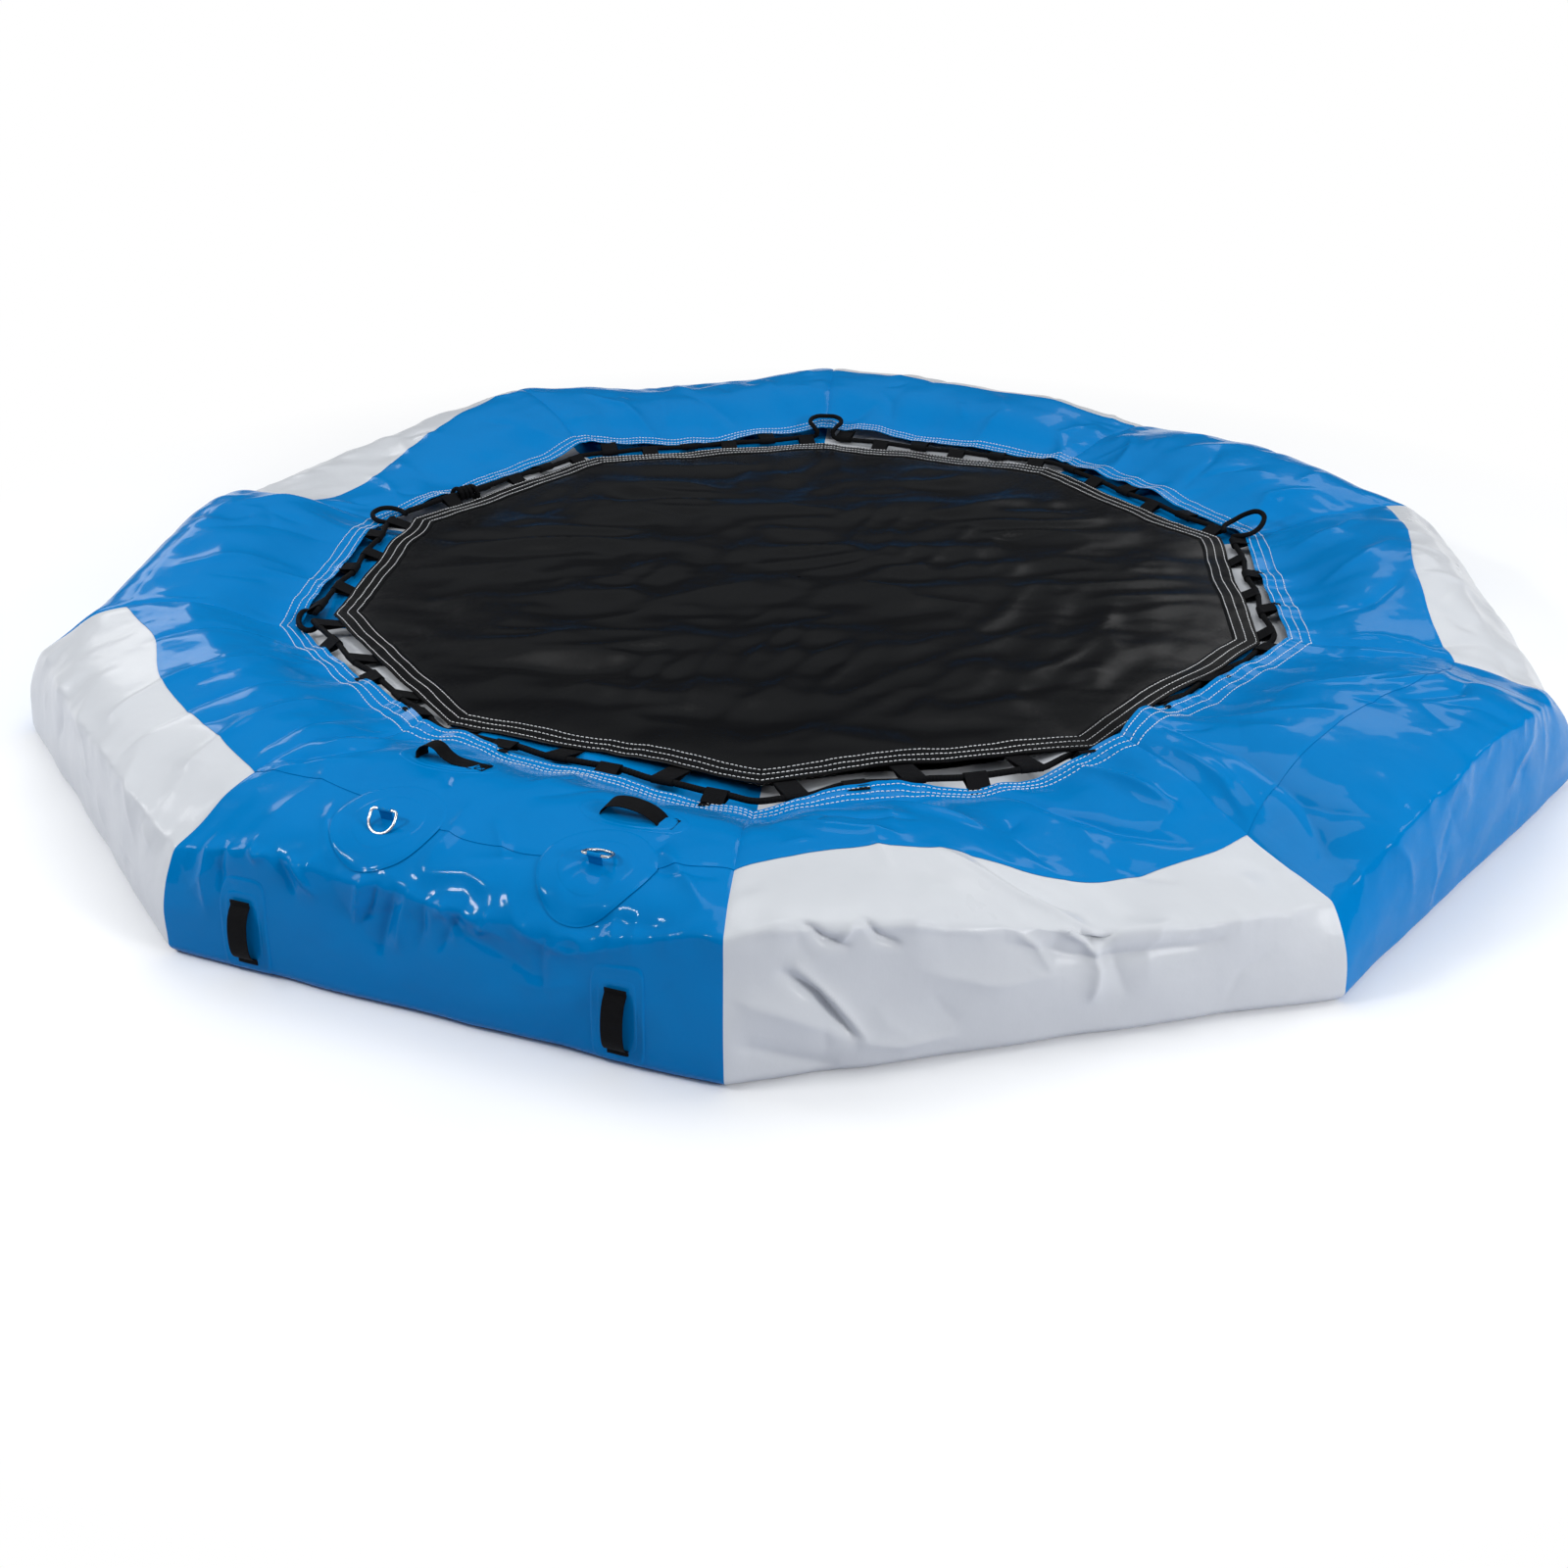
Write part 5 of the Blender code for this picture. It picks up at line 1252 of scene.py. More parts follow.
    def build(self) -> None:
        """Makes, dresses and attaches every segment and panel to the ring's body."""
        for side in range(1, SIDES + 1):
            tube = self.tube(side)
            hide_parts(f"tube_segment_{side:02}")
            self.finishes.dress(tube, self.finishes.blue if side % 2 else self.finishes.white)
            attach(tube, Body.RING.value)
            apron = self.apron(side)
            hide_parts(f"apron_panel_{side:02}")
            self.finishes.dress(apron, self.finishes.blue)
            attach(apron, Body.RING.value)
            faces = len(tube.data.polygons), len(apron.data.polygons)
            LOG.info("side %d: tube %d faces, apron %d faces", side, *faces)


# --- The mat and its hem ---


@dataclass
class Mat:
    """The jump mat as ten matching gores, and its hem."""

    finishes: Finishes
    height: float = 0.240
    edge: float = 1.16009
    hem_width: float = 0.065
    thickness: float = 0.0012
    hem_thickness: float = 0.0009
    sag: float = 0.010
    middle_share: float = 0.13
    gore_grid: tuple[int, int] = (44, 84)
    hem_grid: tuple[int, int] = (110, 44)
    tucks: tuple[Point, ...] = (
        (267.0, 0.018, 8.0), (148.0, 0.022, 6.0), (302.0, 0.010, 5.0),
    )
    ripple: Ripple = Ripple(53)
    small: Ripple = Ripple(59)

    def level(self, x: Array, y: Array) -> Array:
        """The height of the mat's cloth."""
        away = np.hypot(x, y)
        loose = 1 - smooth_step(0.86, 1.13, away)
        sag = self.sag * (1 - smooth_step(0.0, 1.12, away))
        long_x, long_y = x * 0.98 - y * 0.20, x * 0.20 + y * 0.98
        bent = long_y + 0.05 * self.small.at(x / 0.50, y / 0.50, 7.7)
        swell = 0.0150 * self.ripple.at(long_x / 0.46, bent / 0.150, 0.3)
        local = smooth_step(-0.25, 0.35, self.small.at(x / 0.42, y / 0.42, 2.2))
        crease = 0.0110 * local * self.ripple.creased(long_x / 0.38 + 3.0, bent / 0.115 + 1.7, 0.8)
        askew = self.ripple.creased(x / 0.16 - y / 0.16 + 8.0, (x + y) / 0.42 + 4.1, 1.9)
        cross = 0.0065 * askew * (1 - local)
        fine = 0.0018 * self.small.at(long_x / 0.14, long_y / 0.05, 0.1)
        return self.height - sag + (swell + crease + cross + fine) * (0.20 + 0.80 * loose)

    def tension(self, x: Array, y: Array) -> Array:
        """The waves that the uneven lacing leaves in the mat's rim."""
        angle, away = np.arctan2(y, x), np.hypot(x, y)
        round_x, round_y = np.cos(angle) * 1.16, np.sin(angle) * 1.16
        wave = 0.0075 * self.ripple.at(round_x / 0.17, round_y / 0.17, away / 0.45)
        wave = wave + 0.0012 * self.small.at(round_x / 0.05, round_y / 0.05, away / 0.20)
        return wave * smooth_step(0.70, 1.10, away)

    def gathered(self, spots: Array) -> Array:
        """Draws the rim in here and there, where the lacing is tight."""
        angle, away = np.arctan2(spots[:, 1], spots[:, 0]), np.hypot(spots[:, 0], spots[:, 1])
        round_x, round_y = np.cos(angle) * self.edge, np.sin(angle) * self.edge
        pull = 0.012 * self.small.at(round_x / 0.20, round_y / 0.20, 5.5)
        for middle, depth, width in self.tucks:
            off = (np.degrees(angle) - middle + 180) % 360 - 180
            pull = pull + depth * np.exp(-((off / width) ** 2))
        spots[:, :2] *= (1 - pull * smooth_step(0.80, 1.12, away) / np.maximum(away, 0.5))[:, None]
        return spots

    def gore(self, side: int) -> Piece:
        """One tenth of the mat, from its middle to its hem."""
        reach = self.edge - 0.004

        def place(across: Array, outwards: Array) -> Array:
            """A point of the gore's cloth."""
            out = reach * (0.004 + 0.996 * outwards)
            along = (across * 2 - 1) * out * SLANT
            spot = to_ring(side, out, along, out * 0)
            height = self.level(spot[:, 0], spot[:, 1]) + self.tension(spot[:, 0], spot[:, 1])
            spot[:, 2] = height - 0.0012 * smooth_step(0.93, 0.95, outwards)
            return self.gathered(spot)

        bm = draped_grid(*self.gore_grid, place, (0.75, 1.16))
        face_along(bm, Vector((0, 0, 1)))
        thicken(bm, self.thickness)
        return new_piece(f"jump_mat_{side:02}", bm, 45.0)

    def hem_place(self, side: int, share: Array, way: Array, lift: float) -> Array:
        """Places on the hem.

        Args:
            side: the side's number.
            share: -1 to 1 from corner to corner.
            way: 0 at the hem's inner edge on top, 0.5 at the mat's edge, 1 at its inner edge below.
            lift: how far off the hem.

        Returns:
            Places in the ring's frame, one to a row.
        """
        fold = 0.0022
        flat = self.hem_width - fold
        run = way * (2 * flat + math.pi * fold)
        over = run <= flat
        under = run >= flat + math.pi * fold
        turn = np.clip((run - flat) / fold, 0, math.pi)
        back = run - flat - math.pi * fold + fold
        inset = np.where(over, self.hem_width - run, np.where(under, back, 0.0))
        inset = np.where(over | under, inset, fold - (fold + lift) * np.sin(turn))
        out = self.edge - inset
        along = share * out * SLANT
        flat_spot = to_ring(side, out, along, out * 0)
        x, y = flat_spot[:, 0], flat_spot[:, 1]
        middle = self.level(x, y) + self.tension(x, y)
        rise = np.where(over, fold + lift, np.where(under, -fold - lift, (fold + lift) * np.cos(turn)))
        start = smooth_step(0.0, 0.10, np.minimum(way, 1 - way) * 2)
        flat_spot[:, 2] = middle - 0.0006 + rise * (0.35 + 0.65 * start)
        return self.gathered(flat_spot)

    def hem(self, side: int) -> Piece:
        """One side of the hem, folded over the mat's edge."""

        def place(across: Array, way: Array) -> Array:
            """A point of the hem's cloth."""
            return self.hem_place(side, across * 2 - 1, way, 0.0)

        bm = draped_grid(*self.hem_grid, place, (0.75, 0.14))
        face_along(bm, side_frame(side) @ Vector((1, 0, 0)))
        thicken(bm, self.hem_thickness)
        return new_piece(f"mat_hem_{side:02}", bm, 45.0)

    def follow(self, piece: Piece, side: int) -> None:
        """Bakes a piece of the mat's transform into its mesh."""
        turn = side_frame(side)
        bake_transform(piece)

    def build(self) -> None:
        for side in range(1, SIDES + 1):
            gore = self.gore(side)
            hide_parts("jump_mat")
            self.finishes.dress(gore, self.finishes.mat)
            self.follow(gore, side)
            hem = self.hem(side)
            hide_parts("mat_hem")
            self.finishes.dress(hem, self.finishes.hem)
            self.follow(hem, side)
        LOG.info("mat: %d gores and hems", SIDES)


# --- Sewing ---


@dataclass
class Sewing:
    """Rows of stitches over a surface."""

    finishes: Finishes
    radius: float = 0.0010
    length: float = 0.0064
    gap: float = 0.0040

    def rows(self, name: str, lines: Sequence[Callable[[Array], Array]], lengths: Sequence[float],
             jitter: Ripple) -> Piece:
        """Stitches along lines.

        Args:
            name: the piece's name.
            lines: each gives places along one row from shares of 0 to 1.
            lengths: the rows' lengths in metres.
            jitter: noise that makes the stitches a little uneven.

        Returns:
            The stitches as one mesh.
        """
        curve = bpy.data.curves.new(name, "CURVE")
        curve.dimensions = "3D"
        curve.bevel_depth = self.radius
        curve.bevel_resolution = 0
        curve.use_fill_caps = True
        for row, (line, length) in enumerate(zip(lines, lengths)):
            count = max(1, int(length / (self.length + self.gap)))
            index = np.arange(count)
            uneven = jitter.at(index * 0.73, index * 0.0 + row * 3.7)
            start = (index + 0.15 + 0.05 * uneven) / count
            span = self.length / length * (1 + 0.12 * uneven)
            for begin, middle, end in zip(line(start), line(start + span / 2), line(start + span)):
                spline = curve.splines.new("POLY")
                spline.points.add(2)
                low = Vector((0, 0, self.radius * 0.9))
                spline.points[0].co = (*(Vector(begin) - low), 1)
                spline.points[1].co = (*middle, 1)
                spline.points[2].co = (*(Vector(end) - low), 1)
        holder = bpy.data.objects.new(name, curve)
        bpy.context.scene.collection.objects.link(holder)
        bent = holder.evaluated_get(bpy.context.evaluated_depsgraph_get())
        mesh = bpy.data.meshes.new_from_object(bent)
        bpy.data.objects.remove(holder)
        mesh.name = name
        piece = bpy.data.objects.new(name, mesh)
        bpy.context.scene.collection.objects.link(piece)
        self.finishes.dress(piece, self.finishes.thread)
        return piece


@dataclass
class Seams:
    """The three rows of white stitches round the mat, and the three round the apron's free edge."""

    shape: RingShape
    ring: Ring
    mat: Mat
    sewing: Sewing
    mat_rows: tuple[float, ...] = (0.009, 0.033, 0.056)
    apron_rows: tuple[float, ...] = (0.010, 0.031, 0.052)
    edge_out: float = 1.225

    def mat_seam(self, side: int) -> Piece:
        """One side of the mat's stitches, which meet in mitres at the corners."""
        lines, lengths = [], []
        for inset in self.mat_rows:
            way = (self.mat.hem_width - inset) / (2 * self.mat.hem_width + 0.0025)
            wander = inset * 40.0

            def line(share: Array, way: float = way, wander: float = wander) -> Array:
                """Places along one row."""
                drift = 0.014 * self.mat.small.at(share * 6.0 + side * 2.1, share * 0 + wander)
                across = (share * 2 - 1) * (1 - 0.002)
                return self.mat.hem_place(side, across, share * 0 + way + drift, 0.0010)

            lines.append(line)
            lengths.append(2 * (self.mat.edge - inset) * SLANT)
        return self.sewing.rows(f"mat_stitches_{side:02}", lines, lengths, self.mat.ripple)

    def apron_seam(self, side: int) -> Piece:
        """One side of the apron's stitches."""
        end = self.shape.free_edge
        lift = self.ring.apron_lift + self.ring.apron_thickness + 0.0010 + self.sewing.radius * 0.5
        lines, lengths = [], []
        for inset in self.apron_rows:

            def line(share: Array, inset: float = inset) -> Array:
                """Places along one row."""
                across = share * 2 - 1
                drift = 0.0032 * self.shape.wave.at(share * 6.0 + side * 4.1, share * 0 + inset * 90)
                return self.shape.skin(side, across, share * 0 + end - inset + drift, lift, True)

            lines.append(line)
            lengths.append(2 * (self.edge_out + inset) * SLANT)
        return self.sewing.rows(f"apron_stitches_{side:02}", lines, lengths, self.shape.wave)

    def build(self) -> None:
        """Makes every row of stitches."""
        for side in range(1, SIDES + 1):
            mat_seam = self.mat_seam(side)
            self.mat.follow(mat_seam, side)
            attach(self.apron_seam(side), Body.RING.value)
        LOG.info("stitches sewn")


# --- Lacing ---


@dataclass
class Lacing:
    """The webbing tapes with their loops, the rope through them, its bights and its knot."""

    shape: RingShape
    mat: Mat
    finishes: Finishes
    gap: float = 0.062
    loops: int = 3
    loop_width: float = 0.050
    loop_tail: float = 0.012
    tape_thickness: float = 0.0016
    tape_width: float = 0.030
    tape_inset: float = 0.005
    rope_radius: float = 0.0072
    rope_clearance: float = 0.0005
    weave: float = 0.004
    rope_level: float = 0.2488
    under_hem: float = 0.0042
    under_apron: float = 0.0009
    bights: tuple[tuple[int, float, float, float], ...] = (
        (2, 0.090, 0.050, 0.0), (4, 0.080, 0.052, 0.010), (5, 0.045, 0.066, 0.0),
        (10, 0.095, 0.056, 0.040),
    )
    bight_way: tuple[Point, ...] = (
        (-0.50, 0.0, 0.45), (-0.80, 0.10, 1.0), (-1.0, 0.42, 1.0), (-0.92, 0.72, 1.0),
        (-0.52, 0.94, 1.0), (0.0, 1.0, 1.0), (0.52, 0.94, 1.0), (0.92, 0.72, 1.0), (1.0, 0.42, 1.0),
        (0.80, 0.10, 1.0), (0.50, 0.0, 0.45),
    )
    knot_side: int = 4
    knot_place: int = 8
    knot_turns: int = 3
    usual_edge: float = 1.222
    slope_out: float = 1.36
    drift: Ripple = Ripple(71)

    @property
    def middle(self) -> float:
        """How far out the rope runs."""
        return self.mat.edge + self.gap / 2

    def rope_out(self, angle: float) -> float:
        """How far out the rope lies: it gives way where the apron's edge stands back."""
        edge_out = float(self.shape.station(8, np.array([angle]))[0])
        return self.middle + 0.002 + 1.05 * (edge_out - self.usual_edge)

    def angle_at(self, side: int, place: float) -> float:
        """The angle round the ring of a place along a side, in degrees."""
        return middle_angle(side) + math.degrees(math.atan(place / self.middle))

    def loop_places(self, first: int) -> list[float]:
        """Where a side's loops stand along it. The mat and the apron take every other place."""
        pitch = 2 * self.middle * SLANT / (2 * self.loops)
        return [(2 * index + first - self.loops + 0.5) * pitch for index in range(self.loops)]

    def loop(self, start: Vector, centre: Vector, outwards: bool) -> list[tuple[float, float]]:
        """A loop's way in its side's section: off the tape's edge, round the rope and back under."""
        radius = self.rope_radius + self.rope_clearance + self.tape_thickness / 2
        sign = 1 if outwards else -1
        arc = []
        for turn in np.linspace(100, -100, 13):
            angle = math.radians(turn)
            reach, rise = radius * math.cos(angle), radius * math.sin(angle)
            arc.append((centre.x + sign * reach, centre.y + rise))
        back = start - Vector((sign * self.loop_tail, self.tape_thickness * 1.4))
        under = Vector((start.x, start.y - self.tape_thickness * 1.4))
        return [tuple(start), *arc, tuple(under), tuple(back)]

    def strap(
        self, side: int, way: Sequence[Sequence[float]], place: float, width: float, seed: float
    ) -> Surface:
        """A strap's surface: a way in the side's section, drawn out along the side.

        Args:
            side: the side's number.
            way: places out and up in the side's section.
            place: the strap's middle along the side.
            width: its width.
            seed: makes each strap lie a little differently.

        Returns:
            The surface, without its thickness.
        """
        line = eased_line([(x, z, 0.0) for x, z in way], 0.003)
        points = np.array([(p.x, p.y) for p in line])
        count = len(points)
        length = float(np.linalg.norm(np.diff(points, axis=0), axis=1).sum())

        def on_strap(across: Array, way_share: Array) -> Array:
            """A point of the strap."""
            index = np.rint(way_share * (count - 1)).astype(int)
            shift = 0.002 * self.drift.at(way_share * 2.0 + seed, across * 0.8 + seed * 3)
            along = place + (across - 0.5) * width + shift
            return to_ring(side, points[index, 0], along, points[index, 1])

        bm = draped_grid(8, count - 1, on_strap, (width, length))
        bmesh.ops.recalc_face_normals(bm, faces=bm.faces)
        return bm

    def tape(self, name: str, side: int, under: Callable[[Array, Array], Array], first: int,
             outwards: bool) -> Piece:
        """One side's tape under an edge, with its loops round the rope.

        Args:
            name: the piece's name.
            side: the side's number.
            under: gives places under the cloth from a place along the side and a way in from its edge.
            first: 0 for the mat's loops, 1 for the apron's.
            outwards: True if the loops reach outwards to the rope.

        Returns:
            The piece.
        """
        half = self.middle * SLANT

        def on_tape(across: Array, way: Array) -> Array:
            """A point of the flat tape."""
            return under((across * 2 - 1) * half * 0.985, self.tape_inset + self.tape_width * way)

        bm = draped_grid(110, 5, on_tape, (2 * half, self.tape_width))
        face_along(bm, Vector((0, 0, 1)))
        thicken(bm, self.tape_thickness)
        joined = bpy.data.meshes.new(name)
        back = side_frame(side).inverted()
        for index, place in enumerate(self.loop_places(first)):
            edge = back @ Vector(under(np.array([place]), np.array([0.004]))[0])
            start = Vector((edge.x, edge.z - self.tape_thickness / 2))
            shift = self.weave if outwards else -self.weave
            centre = Vector((self.rope_out(self.angle_at(side, place)) + shift, self.rope_level))
            way = self.loop(start, centre, outwards)
            part = self.strap(side, way, place, self.loop_width, side * 3.1 + index)
            thicken(part, self.tape_thickness)
            part.to_mesh(joined)
            part.free()
            bm.from_mesh(joined)
        piece = new_piece(name, bm, 40.0)
        self.finishes.dress(piece, self.finishes.webbing)
        return piece

    def tapes(self) -> None:
        """The tapes and loops of the mat and of the apron."""
        end = self.shape.free_edge
        for side in range(1, SIDES + 1):

            def under_mat(along: Array, inset: Array) -> Array:
                """Places under the mat's hem."""
                spots = to_ring(side, self.mat.edge - inset, along, along * 0)
                x, y = spots[:, 0], spots[:, 1]
                spots[:, 2] = self.mat.level(x, y) + self.mat.tension(x, y) - self.under_hem
                return self.mat.gathered(spots)

            def under_apron(along: Array, inset: Array) -> Array:
                """Places under the apron's free edge."""
                share = along / (self.middle * SLANT)
                return self.shape.skin(side, share, along * 0 + end - inset, self.under_apron, True)

            piece = self.tape(f"mat_loops_{side:02}", side, under_mat, 0, True)
            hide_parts("mat_loop_tape")
            self.mat.follow(piece, side)
            piece = self.tape(f"apron_loops_{side:02}", side, under_apron, 1, False)
            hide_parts(f"apron_loop_tape_{side:02}")
            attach(piece, Body.RING.value)

    def bight(self, side: int, start: Vector, end: Vector, reach: float, spread: float,
              stand: float) -> list[Vector]:
        """The slack of the rope, drawn out and laid over the apron at a side's last corner.

        Args:
            side: the side's number.
            start, end: where the rope leaves the lacing and where it comes back.
            reach: how far the bight is drawn out.
            spread: half its width.
            stand: how far its end stands off the apron.

        Returns:
            Places along the bight.
        """
        corner = corner_frame(side)
        root = ((start + end) / 2).xy.length
        angle = np.array([TURN * side])
        cos = math.cos(math.pi / SIDES)
        edge_out, edge = float(self.shape.station(8, angle)[0]), float(self.shape.station(9, angle)[0])
        slope = float(self.shape.top_height(np.array([self.slope_out]), angle)[0])
        points = []
        for along, out, up in self.bight_way:
            place, aside = root + reach * out, spread * along
            square = place * cos + abs(aside) * math.sin(math.pi / SIDES)
            run = (square - edge_out) / (self.slope_out - edge_out)
            above = edge + max(0.0, run) * (slope - edge)
            over = above + self.rope_radius + 0.0035 + stand * out * out
            points.append(corner @ Vector((place, aside, start.z + (over - start.z) * up)))
        return points

    def route(self) -> list[Vector]:
        """The rope's way from the knot round the mat and back."""
        half = self.loop_width / 2 + self.tape_thickness
        slack = {side: sizes for side, *sizes in self.bights}
        order = [(self.knot_side - 1 + step) % SIDES + 1 for step in range(SIDES)]
        sides = []
        for side in order:
            turn = side_frame(side)
            places = [(place, self.weave) for place in self.loop_places(0)]
            places += [(place, -self.weave) for place in self.loop_places(1)]
            stops = []
            for place, shift in sorted(places):
                out = self.rope_out(self.angle_at(side, place)) + shift
                stops += [turn @ Vector((out, place + end, self.rope_level)) for end in (-half, half)]
            sides.append(stops)
        route: list[Vector] = []
        for index, (side, stops) in enumerate(zip(order, sides)):
            route += stops
            following = sides[(index + 1) % len(sides)][0]
            if side in slack:
                route += self.bight(side, route[-1], following, *slack[side])
            else:
                radius = self.rope_out(TURN * side) / math.cos(math.pi / SIDES) - self.rope_radius
                route.append(corner_frame(side) @ Vector((radius, 0, self.rope_level)))
        return route

    def rope(self) -> None:
        """The rope and the wound knot that joins its ends."""
        route = self.route()
        knot_start, knot_end = route[self.knot_place - 1], route[self.knot_place]
        middle = (knot_start + knot_end) / 2
        line = eased_line([middle, *route[self.knot_place:], *route[: self.knot_place], middle], 0.0075)
        shifted = []
        still = 20
        for index, place in enumerate(line):
            sway = float(self.drift.at(np.array([index * 0.021]), np.array([4.4]))[0])
            rise = float(self.drift.at(np.array([index * 0.021]), np.array([9.4]))[0])
            out = Vector((place.x, place.y, 0)).normalized()
            fade = min(1.0, index / still, (len(line) - 1 - index) / still)
            shifted.append(place + (out * 0.0012 * sway + Vector((0, 0, 0.0010 * rise))) * fade)
        rope = round_cord("lacing_cord", shifted, self.rope_radius, 12)
        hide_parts("lacing_rope")
        self.finishes.dress(rope, self.finishes.rope)
        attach(rope, Body.RING.value)
        along = (knot_end - knot_start).normalized()
        turn = Matrix.Translation(middle) @ along.to_track_quat("Z", "X").to_matrix().to_4x4()
        half = self.knot_turns * (2 * self.rope_radius + 0.0006) / 2
        coil = []
        round_steps, lead = 16, 10
        steps = self.knot_turns * round_steps
        for step in range(-lead, steps + lead + 1):
            angle = 2 * math.pi * step / round_steps
            radius = 2 * self.rope_radius + self.rope_clearance
            climb = -half + 2 * half * step / steps
            if step < 0 or step > steps:
                over = (-step if step < 0 else step - steps) / lead
                radius += 0.014 * over
                climb += (-1 if step < 0 else 1) * 0.010 * over
            coil.append(turn @ Vector((radius * math.cos(angle), radius * math.sin(angle), climb)))
        knot = round_cord("rope_hitch", eased_line(coil, 0.004), self.rope_radius * 0.98, 12)
        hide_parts("rope_knot")
        self.finishes.dress(knot, self.finishes.rope)
        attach(knot, Body.RING.value)
        LOG.info("rope laid, %d places", len(line))

    def build(self) -> None:
        """Makes the tapes and the rope."""
        self.tapes()
        self.rope()


# --- Fittings of the boarding side ---


@dataclass(frozen=True)
class RingSpot:
    """A D-ring's place: distance in from the outer wall, along as a share, and its lean."""

    end: str
    body: Body
    setback: float
    share: float
    lean: int


@dataclass(frozen=True)
class TopSpot:
    """A top handle's place and form."""

    end: str
    setback: float
    share: float
    arched: bool


@dataclass(frozen=True)
class WallSpot:
    """A side handle's place."""

    end: str
    height: float
    share: float


